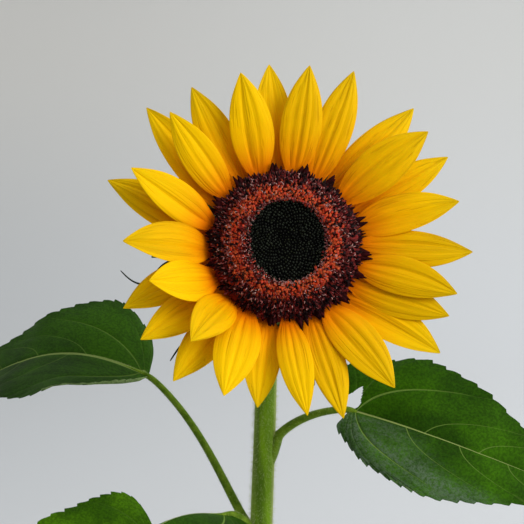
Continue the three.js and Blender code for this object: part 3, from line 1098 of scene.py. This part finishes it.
def tubeAlong(name, path, radii, ring):
    deselectAll()
    bpy.ops.curve.primitive_nurbs_path_add()
    tube = newest(name)
    spline = tube.data.splines[0]
    spline.points.add(len(path) - len(spline.points))
    for point, place, radius in zip(spline.points, path, radii):
        point.co = (*place, 1)
        point.radius = radius
    spline.order_u = 4
    spline.use_endpoint_u = True
    spline.resolution_u = 3
    tube.data.twist_mode = "MINIMUM"
    tube.data.bevel_mode = "OBJECT"
    tube.data.bevel_object = ring
    tube.data.use_fill_caps = True
    applyPlace(tube)
    bpy.ops.object.convert(target="MESH")
    tube = newest(name)
    closeUp(tube, 0.01 * mm)
    smooth(tube, 70)
    return tube


def stemLine():
    # the frame's stem, ring by ring: centre and radius
    corners = sorted(cornersOf("stem"), key=lambda p: p.z)
    rings = [[corners[0]]]
    for corner in corners[1:]:
        if corner.z - rings[-1][-1].z > 4 * mm:
            rings.append([])
        rings[-1].append(corner)
    centres = [middle(ring) for ring in rings]
    radii = [max((p - centre).length for p in ring) for ring, centre in zip(rings, centres)]
    return centres, radii


stemCentres, stemRadii = stemLine()


def stemAt(height):
    for low, high in zip(stemCentres, stemCentres[1:]):
        if height <= high.z:
            return low.lerp(high, (height - low.z) / (high.z - low.z))
    return stemCentres[-1]


def stalkLine(node):
    # where a leaf stalk starts and ends, and the curve between
    corners = cornersOf(node)
    byReach = sorted(corners, key=lambda p: (p - stemAt(p.z)).xy.length)
    start = middle(byReach[:9])
    joint = middle(sorted(corners, key=lambda p: (p - start).length)[-9:])
    ending = np.array([p - joint for p in sorted(corners, key=lambda p: (p - joint).length)[:9]])
    arrive = Vector(np.linalg.svd(ending)[2][-1])
    if arrive.dot(joint - start) < 0:
        arrive.negate()
    out = (start - stemAt(start.z)).xy.to_3d().normalized()
    rise = radians(stalkLook["leaving"])
    leaving = out * cos(rise) + Vector((0, 0, sin(rise)))
    reach = (joint - start).length
    path = interpolate_bezier(start, start + leaving * reach * 0.25, joint - arrive * reach * 0.4, joint, 12)
    return start, out, path, joint


def surfacePoints(piece, count, luck):
    # points spread evenly by area over a piece, each with the way its face looks
    mesh = piece.data
    mesh.calc_loop_triangles()
    areas = np.cumsum([triangle.area for triangle in mesh.loop_triangles])
    for _ in range(count):
        i = int(np.searchsorted(areas, luck.random() * areas[-1]))
        triangle = mesh.loop_triangles[min(i, len(areas) - 1)]
        a, b = luck.random(), luck.random()
        if a + b > 1:
            a, b = 1 - a, 1 - b
        first, second, third = [mesh.vertices[k].co for k in triangle.vertices]
        yield first + (second - first) * a + (third - first) * b, triangle.normal.copy()


def hairPlaces(piece, look, luck, lean=Vector((0, 0, 0))):
    area = sum(face.area for face in piece.data.polygons) / (mm * mm)
    places = []
    for point, normal in surfacePoints(piece, int(area * look["hairs"]), luck):
        tilt = Vector([luck.uniform(-1, 1) for _ in range(3)]) * hairLook["tilt"]
        along = (normal + tilt + lean).normalized()
        side = Vector((0, 0, 1)) if abs(along.z) < 0.9 else Vector((1, 0, 0))
        long = look["hairLength"] * luck.uniform(0.5, 1.3) / mm
        places.append(axesAt(point - normal * 0.1 * mm, along, side) @ Matrix.Diagonal((1, 1, long, 1)))
    return places


def makeHairs(name, places):
    deselectAll()
    size = {"radius1": hairLook["radius"], "radius2": 0, "depth": mm}
    bpy.ops.mesh.primitive_cone_add(vertices=3, location=(0, 0, 0.5 * mm), **size)
    master = added("hair")
    hairs = joinedCopies(name, master, places)
    drop(master)
    wear(hairs, hairSkin)
    return hairs


leafLook = {
    "across": 36,
    "rowsPerTooth": 5,
    "teeth": 21,
    "toothed": (0.12, 0.975),  # the rows the teeth run between
    "tooth": 1.15 * mm,
    "thick": 0.34 * mm,
    "outline": [
        (0, 0.06, 0.0), (0.05, 0.2, -0.022), (0.11, 0.4, -0.026), (0.18, 0.63, -0.004), (0.25, 0.82, 0.05),
        (0.32, 0.94, 0.12), (0.4, 1.0, 0.21), (0.48, 0.99, 0.31), (0.56, 0.94, 0.42), (0.64, 0.855, 0.53),
        (0.72, 0.735, 0.635), (0.79, 0.6, 0.73), (0.86, 0.45, 0.82), (0.92, 0.29, 0.9), (0.97, 0.125, 0.965),
        (1, 0.0, 1.0),
    ],  # row, share of the half width, share of the length
    "lobes": {  # how the base differs on one blade's one side or the other
        (1, -1): [
            (0, 0.22, -0.05), (0.04, 0.34, -0.09), (0.08, 0.46, -0.108), (0.13, 0.57, -0.11),
            (0.18, 0.67, -0.095), (0.23, 0.77, -0.065), (0.29, 0.87, -0.015), (0.35, 0.95, 0.05),
            (0.4, 1.05, 0.13), (0.46, 1.15, 0.23), (0.52, 1.13, 0.31), (0.58, 1.07, 0.4), (0.64, 0.97, 0.5),
            (0.7, 0.83, 0.59), (0.76, 0.66, 0.68),
        ],
        (1, 1): [
            (0, 0.05, 0.0), (0.05, 0.2, -0.014), (0.1, 0.34, -0.02), (0.17, 0.5, 0.03), (0.24, 0.64, 0.09),
            (0.32, 0.77, 0.16), (0.4, 0.86, 0.25), (0.48, 0.92, 0.34),
        ],
        (2, -1): [
            (0, 0.03, 0.0), (0.05, 0.12, 0.01), (0.11, 0.25, 0.03), (0.18, 0.39, 0.06), (0.25, 0.51, 0.095),
            (0.32, 0.64, 0.15), (0.4, 0.78, 0.225), (0.48, 0.88, 0.32),
        ],
        (2, 1): [
            (0, 0.06, 0.0), (0.05, 0.2, 0.0), (0.11, 0.42, 0.0), (0.18, 0.7, 0.02), (0.25, 0.94, 0.07),
            (0.32, 1.1, 0.14), (0.4, 1.12, 0.21), (0.48, 1.02, 0.31), (0.56, 0.89, 0.42), (0.64, 0.76, 0.53),
            (0.72, 0.63, 0.635), (0.79, 0.51, 0.73),
        ],
        (4, 1): [
            (0, 0.06, 0.0), (0.05, 0.26, -0.02), (0.11, 0.54, -0.02), (0.18, 0.8, 0.0), (0.25, 0.94, 0.05),
            (0.32, 0.98, 0.12), (0.4, 0.97, 0.21), (0.48, 0.96, 0.31),
        ],
    },
    # one kind carries a painted sheen, and two have their tones painted darker and lighter, as shade and
    # light
    "skins": {"sheenPatch": (1, 5, 9), "ridgedShaded": (2, 8), "paintedLit": (4, 6, 10)},
    "calm": {1: 0.45},  # a blade with smaller waves
    "moreFold": {2: 2.5 * mm},
    "ribDown": {1: 1.8, 2: 1.0},  # how deep the rib lies under the blade, against its radius
    # a round notch beside one stalk: shares of the half width and of the length
    "notch": {1: {"centre": (-0.133, -0.002), "radius": (0.123, 0.036), "sides": 14, "corner": (5, 8)}},
    "rolled": {(2, -1): -0.34},  # a margin that rolls up near the base
    "quilt": 0.28 * mm,
    "groove": 0.28 * mm,
    "wave": 0.75 * mm,
}


def measureLeaf(node, joint):
    corners = cornersOf(node)
    tip = middle(sorted(corners, key=lambda p: (p - joint).length)[-14:])
    along = (tip - joint).normalized()
    across, wide = spread(corners, joint, along)
    normal = across.cross(along)
    if normal.z < 0:
        across, normal = -across, -normal
    length = (tip - joint).length
    stations = {}
    for p in corners:
        if abs((p - joint).dot(across)) < 0.5 * mm:
            share = round((p - joint).dot(along) / length, 2)
            stations.setdefault(share, []).append((p - joint).dot(normal))
    arch = [(share, sum(heights) / len(heights)) for share, heights in sorted(stations.items())]
    arch = [(0.0, 0.0)] + [pair for pair in arch if 0.08 < pair[0] < 0.97] + [(1.0, 0.0)]
    edge = [p - joint for p in corners if abs((p - joint).dot(across)) > 0.47 * wide]
    fold = sum(p.dot(normal) - through(arch, p.dot(along) / length) for p in edge) / len(edge)
    return {
        "along": along, "across": across, "normal": normal,
        "wide": wide, "length": length, "arch": arch, "fold": fold,
    }


def lateralDistance(row, side):
    shifted = row + side * leafVeins["shift"]
    return min(abs(shifted - lateral) + 0.02 * (1 - strength) for lateral, strength in leafVeins["laterals"])


def leafPoint(size, share, row, toothing, seed):
    # share is -1 to 1 across the blade, row is 0 to 1 from the base's lobe to the tip
    side, u = (1 if share > 0 else -1), abs(share)
    outline = size["outlines"][side]
    marginX = through([(r, x) for r, x, y in outline], row) * size["wide"] / 2
    marginY = through([(r, y) for r, x, y in outline], row)
    fan, bend = leafVeins["basal"], leafVeins["bend"]
    start = 0.03 * row / fan if row < fan else 0.03 + 0.97 * ((row - fan) / (1 - fan)) ** 1.06
    x = marginX * u
    y = start + (marginY - start) * (bend * u + (1 - bend) * u**3)
    if u > 0.94:
        x += toothing * leafLook["tooth"] * min(1, marginX / (6 * mm))
    distance = lateralDistance(row, side)
    open_ = sin(pi * min(u * 1.02, 1)) ** 0.7
    puff = leafLook["quilt"] * min(distance / 0.05, 1) ** 1.3 * open_
    groove = leafLook["groove"] * exp(-((distance / 0.012) ** 2)) * (1 - u**3)
    rib = leafLook["groove"] * exp(-((x / (1.2 * mm)) ** 2))
    turn = 2 * pi * (y * size["length"] / (34 * mm) + seed * 0.37 + (0.5 if side > 0 else 0))
    wave = size["wave"] * u**2.6 * (sin(turn) + 0.5 * sin(1.7 * turn + seed))
    wave *= min(1, marginX / (9 * mm))
    rumple = 0.7 * mm * noise.noise(Vector((x * side / (17 * mm), y * 5, seed * 3.1))) * min(1, 3 * u)
    z = through(size["arch"], y) + size["fold"] * x / (size["wide"] / 2)
    curl = size["curl"] + size["rolled"][side] * max(0, 1 - y / 0.5)
    z += puff - groove - rib + wave + rumple - curl * u**3 * marginX
    return Vector((x * side, y * size["length"], z))


def cutNotch(leaf, size, notch):
    # cuts along the sides of a ring that has one sharp corner, then takes out the faces inside it
    across, along = size["wide"] / 2, size["length"]
    x, y = notch["centre"]
    middlePoint = Vector((x * across, y * along, 0))
    wide, long = notch["radius"][0] * across, notch["radius"][1] * along
    sides = []
    for k in range(notch["sides"]):
        angle = 2 * pi * k / notch["sides"]
        if not notch["corner"][0] <= k <= notch["corner"][1]:
            outward = Vector((cos(angle) / wide, sin(angle) / long, 0))
            sides.append((middlePoint + Vector((wide * cos(angle), long * sin(angle), 0)), outward))
    editPoints(leaf)
    for onEdge, outward in sides:
        pickFaces(leaf, lambda face: (face.calc_center_median() - middlePoint).xy.length < 4 * wide)
        bpy.ops.mesh.bisect(plane_co=onEdge, plane_no=outward)

    def inside(face):
        place = face.calc_center_median()
        return all((place - point).xy.dot(away.xy) < 0 for point, away in sides)

    pickFaces(leaf, inside)
    bpy.ops.mesh.delete(type="FACE")
    leaveEdit()


def makeLeaf(number, joint, luck):
    node = f"leaf_{number:02d}"
    size = measureLeaf(node, joint)
    size["wave"] = leafLook["wave"] * luck.uniform(0.7, 1.3) * leafLook["calm"].get(number, 1)
    size["curl"] = luck.uniform(0.05, 0.12)
    size["rolled"] = {side: leafLook["rolled"].get((number, side), 0) for side in (-1, 1)}
    size["fold"] += leafLook["moreFold"].get(number, 0)
    size["outlines"] = {}
    for side in (-1, 1):
        lobe = leafLook["lobes"].get((number, side), [])
        lobeEnd = lobe[-1][0] + 0.05 if lobe else -1
        size["outlines"][side] = lobe + [row for row in leafLook["outline"] if row[0] > lobeEnd]
    seed = number * 1.7
    perTooth = leafLook["rowsPerTooth"]
    across, along = leafLook["across"], leafLook["teeth"] * perTooth
    deselectAll()
    bpy.ops.mesh.primitive_grid_add(x_subdivisions=across, y_subdivisions=along, size=1, location=(0, 0.5, 0))
    leaf = added(f"leafBlade{number:02d}")
    firstTooth, lastTooth = leafLook["toothed"]
    for corner in leaf.data.vertices:
        column, row = corner.index % (across + 1), corner.index // (across + 1)
        share = 2 * column / across - 1
        step = (row % perTooth) / (perTooth - 1)
        toothed = firstTooth < row / along < lastTooth
        tooth = (step - 0.5) * (1 + 0.4 * sin(row * 0.9 + seed)) if toothed else 0
        ahead = 0.55 / along if toothed and row % perTooth == perTooth - 1 and abs(share) > 0.99 else 0
        corner.co = leafPoint(size, share, min(row / along + ahead, 1), tooth, seed)
    closeUp(leaf, 0.01 * mm)
    faceTowards(leaf, Vector((0, 0, 1)))
    if number in leafLook["notch"]:
        cutNotch(leaf, size, leafLook["notch"][number])
    skin = next((kind for kind, numbers in leafLook["skins"].items() if number in numbers), "plain")
    wear(leaf, leafSkins[skin], leafSkins["under"])
    applyModifier(leaf, "SOLIDIFY", thickness=leafLook["thick"], offset=-1, material_offset=1)
    smooth(leaf, 75)
    turn = Matrix((size["across"], size["along"], size["normal"])).transposed().to_4x4()
    turn.translation = joint
    leaf.matrix_world = turn
    applyPlace(leaf)
    settle(leaf, "leaf_blade", node)
    # the midrib's line under the blade, for the stalk to run on along
    rib = []
    down = leafLook["ribDown"].get(number, 1.15)
    for k in (0.3, 1, 2, 3, 4, 5, 6, 7, 8, 9):
        row = leafVeins["basal"] + (1 - leafVeins["basal"]) * k / 10
        radius = stalkLook["endRadius"] * (0.9 - 0.09 * k)
        place = leafPoint(size, 0.001, row, 0, seed) - Vector((0, 0, down * radius))
        rib.append((turn @ place, radius))
    return rib


def makeStalksAndLeaves():
    luck = random.Random(5)
    roundRing = ribbedRing("stalkRing", 16, 3, 0.05)
    ribRing = ribbedRing("stemRing", stemLook["sides"], stemLook["ribs"], stemLook["ribDepth"])
    # the stem with its neck in one run
    start = stemCentres[-1]
    cupEnd = min(alongHead(p) for p in cupCorners)
    end = middle([p for p in cupCorners if alongHead(p) < cupEnd + 0.1 * mm]) + headAxis * 1.5 * mm
    cupBack = min(fromAxis(p) for p in cupCorners if fromAxis(p) > mm)
    up = (stemCentres[-1] - stemCentres[-2]).normalized()
    fromStem, fromCup = stemLook["neckPull"]
    neck = interpolate_bezier(start, start + up * fromStem, end - headAxis * fromCup, end, 9)[1:]
    foot = [stemCentres[0] + Vector((0, 0, rise * mm)) for rise in (-2, 4)]
    path = foot + stemCentres[1:] + neck
    radii = [stemRadii[0] * 1.1, stemRadii[0] * 0.86] + stemRadii[1:]
    thin, count = stemRadii[-1], len(neck)
    radii += [thin + (cupBack - thin) * (k / count) ** 3 for k in range(1, count + 1)]
    stem = tubeAlong("stemAndNeck", path, radii, ribRing)
    wear(stem, plainMaterial("stemSkin", stemLook["skin"]))
    settle(stem, "stalk", "stem", "neck")
    hairs = hairPlaces(stem, stemLook, luck, Vector((0, 0, -0.25)))
    stalkSkin = plainMaterial("stalkSkin", stalkLook["skin"])
    for number in range(1, 13):
        node = f"petiole_{number:02d}"
        first, out, line, joint = stalkLine(node)
        rib = makeLeaf(number, joint, luck)
        sunk, root = stalkLook["sunk"], stalkLook["rootRadius"]
        inner = first - out * sunk * 0.25 - Vector((0, 0, sunk * 1.4))
        deeper = first - out * sunk * 0.8 - Vector((0, 0, sunk * 2.6))
        path = [deeper, inner, first] + line[1:] + [place for place, radius in rib]
        steps = len(line) - 1
        radii = [root * foot for foot in stalkLook["foot"]]
        radii += [root + (stalkLook["endRadius"] - root) * k / steps for k in range(1, steps + 1)]
        radii += [radius for place, radius in rib]
        stalk = tubeAlong(f"leafStalk{number:02d}", path, radii, roundRing)
        wear(stalk, stalkSkin)
        settle(stalk, "stalk", node)
        hairs += hairPlaces(stalk, stalkLook, luck)
    settle(makeHairs("stalkHairs", hairs), "stalk")
    drop(roundRing)
    drop(ribRing)
    print("stem, stalks and leaves made, with", len(hairs), "hairs")


makeStalksAndLeaves()


# The receptacle behind the disk, and three rows of hairy bracts.
cupLook = {
    "sides": 64,
    "steps": 10,
    "skin": {
        "dark": (72, 100, 26), "bright": (104, 132, 44), "sheen": 0.2,
        "grain": 160, "roughness": 0.62, "relief": 0.2,
    },
}
bractLook = {
    "across": 6,
    "along": 18,
    "perRow": 13,
    "rows": [  # root radius, height, length, width and how far the tip leans back
        {"radius": 31.5, "height": -10.2, "long": 25, "wide": 10.5, "back": 0.2},
        {"radius": 31.0, "height": -13.0, "long": 28, "wide": 10.5, "back": 0.42},
        {"radius": 27.5, "height": -17.5, "long": 23, "wide": 9.5, "back": 0.75},
    ],
    # long thin bracts that show past the rays: where each leaves, how long it is, and its sideways line
    "tendrils": [
        (187, 38.5, [(0, 0), (0.5, 0), (0.75, -7.2), (0.9, -5), (1, 0)]),
        (224, 37, [(0, 0), (0.6, 0.8), (0.8, 1.4), (1, 0)]),
    ],
    "tendrilWide": 2.8 * mm,
    "width": [
        (0, 0.72), (0.12, 0.92), (0.28, 1), (0.45, 0.84), (0.6, 0.56), (0.75, 0.3), (0.88, 0.13), (1, 0.02),
    ],
    "thick": 0.5 * mm,
    "hairs": 0.5,
    "hairLength": 1.2 * mm,
    "skin": {
        "dark": (42, 68, 18), "bright": (72, 104, 30), "sheen": 0.15,
        "grain": 220, "roughness": 0.6, "relief": 0.15,
    },
    # much darker than the other bracts: painted shade for the tips that lie behind the rays
    "shadedTendrilSkin": {
        "dark": (14, 26, 12), "bright": (26, 44, 18),
        "grain": 220, "roughness": 0.6, "relief": 0.15,
    },
}


def makeReceptacle():
    # a drum drawn out to the cup's own line, ring by ring
    rings = sorted({
        (round(alongHead(p) - rimHeight, 5), round(fromAxis(p), 5)) for p in cupCorners if fromAxis(p) > mm
    })
    heights = [alongHead(p) - rimHeight for p in cupCorners]
    low, high = min(heights), max(heights)
    inner = [ring for ring in rings if ring[1] < 0.999 * rings[-2][1] or ring[0] < high - mm]
    line = [((height - low) / (high - low), radius) for height, radius in inner]
    cup = drum("receptacleCup", cupLook["sides"], rings[0][1], low, low + mm)
    shares = [k / cupLook["steps"] for k in range(1, cupLook["steps"])]
    steps = [(low + mm + (high - low - mm) * share, through(line, share)) for share in shares]
    growThrough(steps + [(high, rings[-1][1])], low + mm, rings[0][1])
    leaveEdit()
    wear(cup, plainMaterial("cupSkin", cupLook["skin"]))
    smooth(cup, 50)
    settleOnHead(cup, "green_cup", "receptacle")
    return cup


def makeBracts(cup):
    luck = random.Random(31)
    look = bractLook
    across, along, first = look["across"], look["along"], look["rows"][0]
    master = standingBlade("bractMaster", across, along)
    shapeBlade(
        master, across, along,
        lambda share: 0.14 * abs(2 * share - 1) ** 1.4,
        lambda share: through(look["width"], share),
    )
    bracts = []
    for k, row in enumerate(look["rows"]):
        for i in range(look["perRow"]):
            angle = 360 * (i + 0.33 * k + luck.uniform(-0.12, 0.12)) / look["perRow"] + 6
            long = row["long"] * luck.uniform(0.88, 1.15)
            curl, sway = luck.uniform(-0.1, 0.5), luck.uniform(-0.25, 0.25)
            back = row["back"] + luck.uniform(-0.08, 0.08)
            wide = row["wide"] * mm
            bract = sizedCopy(master, f"bract{k}{i:02d}", wide, wide, long * mm)
            bendBlade(bract, curl, sway, luck.uniform(-0.3, 0.3))
            root = onHead(angle, row["radius"], row["height"])
            tip = onHead(angle, row["radius"] + long * cos(back), row["height"] - long * sin(back))
            fitBlade(bract, across + 1, root, tip, Vector((0, 0, 1)))
            bracts.append(bract)
    tendrils = []
    for angle, long, line in look["tendrils"]:
        wide = look["tendrilWide"]
        bract = sizedCopy(master, f"tendril{angle}", wide, wide, long * mm)
        editPoints(bract)
        for row in range(along + 1):
            pick(bract, lambda corner: corner.index // (across + 1) == row)
            shift(through(line, row / along) * mm, 0, 0)
        leaveEdit()
        root = onHead(angle, first["radius"], first["height"])
        fitBlade(bract, across + 1, root, onHead(angle, first["radius"] + long, -9), Vector((0, 0, 1)))
        tendrils.append(bract)
    drop(master)

    def finish(blades, name, skin, *nodes):
        whole = joinAll(blades, name)
        closeUp(whole, 0.01 * mm)
        applyModifier(whole, "SOLIDIFY", thickness=look["thick"], offset=0)
        applyModifier(whole, "SUBSURF", levels=1, render_levels=1)
        smooth(whole, 70)
        wear(whole, plainMaterial(f"{name}Skin", skin))
        settleOnHead(whole, "bract", *nodes)
        return whole

    finish(tendrils, "bractTendrils", look["shadedTendrilSkin"])
    whole = finish(bracts, "bracts", look["skin"], "bract_collar")
    hairs = hairPlaces(whole, look, luck) + hairPlaces(cup, look, luck)
    settle(makeHairs("bractHairs", hairs), "bract")
    print("bracts:", len(bracts))


makeBracts(makeReceptacle())


# The clay pot and its soil.
potLook = {
    "sides": 96,
    "rimDrop": 26 * mm,
    "rimOut": 5 * mm,
    "wall": 5 * mm,
    "floor": 6 * mm,
    "round": 1.2 * mm,
    "skin": {
        "dark": (150, 84, 54), "bright": (188, 112, 76), "speck": (70, (0.62, 0.78), (206, 150, 122)),
        "grain": 26, "detail": 6, "finer": 40, "roughness": 0.88, "specular": 0.15, "relief": 0.12,
    },
}
soilLook = {
    "rings": 26,
    "rough": 1.6 * mm,
    "dish": 3 * mm,
    "skin": {
        "dark": (30, 21, 15), "bright": (66, 48, 34),
        "grain": 260, "detail": 6, "roughness": 0.95, "relief": 0.8,
    },
    "bits": {  # how many, how big, and their tones
        "soilCrumbs": (900, 1.0, (34, 24, 17), (74, 54, 38)),
        "soilFlecks": (60, 0.9, (186, 180, 168), (222, 218, 208)),
    },
    "bitFinish": {"grain": 300, "roughness": 0.9, "relief": 0.2},
}


def makePot():
    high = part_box("pot")[1]
    height, outer = high.z, high.x
    foot = max(p.xy.length for p in cornersOf("pot") if p.z < 2 * mm)
    wall, rim = potLook["wall"], outer - potLook["rimOut"]
    rimFoot = height - potLook["rimDrop"]
    pot = drum("clayPot", potLook["sides"], foot, 0, 2 * mm)
    growThrough([
        (rimFoot, foot + (rim - foot) * rimFoot / height),
        (rimFoot + 0.5 * mm, outer - 1.6 * mm),
        (height - 3 * mm, outer - 0.2 * mm),
        (height, outer - 1.2 * mm),
        (height, rim - wall + 1.2 * mm),
        (height - 3 * mm, rim - wall),
        (potLook["floor"], foot - wall),
    ], 2 * mm, foot)
    leaveEdit()
    settings = {"segments": 3, "limit_method": "ANGLE", "angle_limit": radians(28)}
    applyModifier(pot, "BEVEL", width=potLook["round"], **settings)
    smooth(pot, 40)
    wear(pot, plainMaterial("potSkin", potLook["skin"]))
    settle(pot, "clay", "pot")
    print("pot made")


def soilLevel(top, share):
    # the soil stands a little higher round the stem than at the pot's wall
    return top - soilLook["dish"] * share**2


def makeSoil():
    luck = random.Random(47)
    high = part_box("soil")[1]
    radius = max(p.xy.length for p in cornersOf("soil") if p.z > high.z - 6 * mm)
    soil = drum("pottingSoil", 96, radius, high.z - 15 * mm, high.z - 3 * mm)
    for _ in range(soilLook["rings"]):
        bpy.ops.mesh.inset(thickness=radius / (soilLook["rings"] + 1))
    leaveEdit()
    for corner in soil.data.vertices:
        if corner.co.z > high.z - 5 * mm:
            reach = corner.co.xy.length / radius
            rough = noise.fractal(corner.co * 180, 0.8, 2.1, 4) * soilLook["rough"]
            corner.co.z = soilLevel(high.z, reach) + rough * min(1, 2.2 * (1.02 - reach)) - 0.6 * mm
    wear(soil, plainMaterial("soilSkin", soilLook["skin"]))
    smooth(soil, 80)
    settle(soil, "potting_soil", "soil")
    deselectAll()
    bpy.ops.mesh.primitive_ico_sphere_add(subdivisions=1, radius=1.0 * mm)
    crumb = newest("crumb")
    editPoints(crumb)
    pick(crumb, lambda corner: corner.index % 3 == 0)
    widen(0.7, 0.75, 0.6)
    leaveEdit()
    for name, (count, size, dark, bright) in soilLook["bits"].items():
        places = []
        for _ in range(count):
            turn = luck.uniform(0, 2 * pi)
            reach = sqrt(luck.uniform(0.012, 0.94))
            point = Vector((cos(turn), sin(turn), 0)) * reach * radius
            point.z = soilLevel(high.z, reach) - 0.4 * mm
            scale = size * luck.uniform(0.4, 1.5)
            spin = Matrix.Rotation(luck.uniform(0, 6), 3, "Z") @ Matrix.Rotation(luck.uniform(0, 6), 3, "X")
            sizes = Vector((scale, scale * luck.uniform(0.6, 1.1), scale * 0.7))
            places.append(Matrix.LocRotScale(point, spin, sizes))
        bits = joinedCopies(name, crumb, places)
        wear(bits, plainMaterial(f"{name}Skin", {"dark": dark, "bright": bright, **soilLook["bitFinish"]}))
        settle(bits, "potting_soil")
    drop(crumb)
    print("soil made")


makePot()
makeSoil()


# A pale round floor that sweeps up into a wall all round, painted lighter to the right and higher up as the
# light from the lamp's side, with a faint painted glow.
stageLook = {
    "radius": 6.2,
    "back": 4.2,
    "high": 3.4,
    "sweep": 2.0,
    "across": (-1.3, 1.3),  # where the left's paint turns into the right's, and the low into the high
    "up": (-0.1, 0.9),
    "high left": (202, 201, 197),
    "high right": (233, 233, 230),
    "low left": (184, 187, 189),
    "low right": (230, 233, 236),
    "roughness": 0.9,
    "specular": 0.1,
    # the backdrop's own emission: a painted glow
    "paintedGlow": 0.13,
    # the floor is a darker grey in front, under the lamp, so that it doesn't burn out there
    "lampSide": (-2.2, 0.2, 0.55),
}


def makeStage():
    look = stageLook
    deselectAll()
    size = {"radius": look["radius"], "depth": look["high"]}
    place = (0, look["back"] - look["radius"], look["high"] / 2)
    bpy.ops.mesh.primitive_cylinder_add(vertices=160, location=place, **size)
    stage = added("stageSweep")
    editPoints(stage)
    pickTop(stage)
    bpy.ops.mesh.delete(type="FACE")
    bpy.context.tool_settings.mesh_select_mode = (False, True, False)
    mesh = bmesh.from_edit_mesh(stage.data)
    for edge in mesh.edges:
        edge.select_set(all(corner.co.z < 0.01 for corner in edge.verts))
    bmesh.update_edit_mesh(stage.data)
    bpy.ops.mesh.bevel(offset=look["sweep"], segments=20, affect="EDGES")
    leaveEdit()
    turnOver(stage)
    smooth(stage, 60)
    material, tree, shader = newMaterial("stagePaint", look)
    parts = partsOf(tree, textureSpace(tree, "Object", (1, 1, 1)))
    # painted light: the paint is lighter to the right and higher up
    across = easeBetween(tree, parts["X"], *look["across"])
    low, high = [
        mixColour(tree, "MIX", across, paint(*look[f"{level} left"]), paint(*look[f"{level} right"]))
        for level in ("low", "high")
    ]
    colour = mixColour(tree, "MIX", easeBetween(tree, parts["Z"], *look["up"]), low, high)
    front, back, least = look["lampSide"]
    colour = mixColour(tree, "MULTIPLY", 1, colour, easeBetween(tree, parts["Y"], front, back, least, 1))
    # the paint also feeds the emission, a painted glow
    for socket in ("Base Color", "Emission Color"):
        tree.links.new(colour, shader.inputs[socket])
    wear(stage, material)


makeStage()
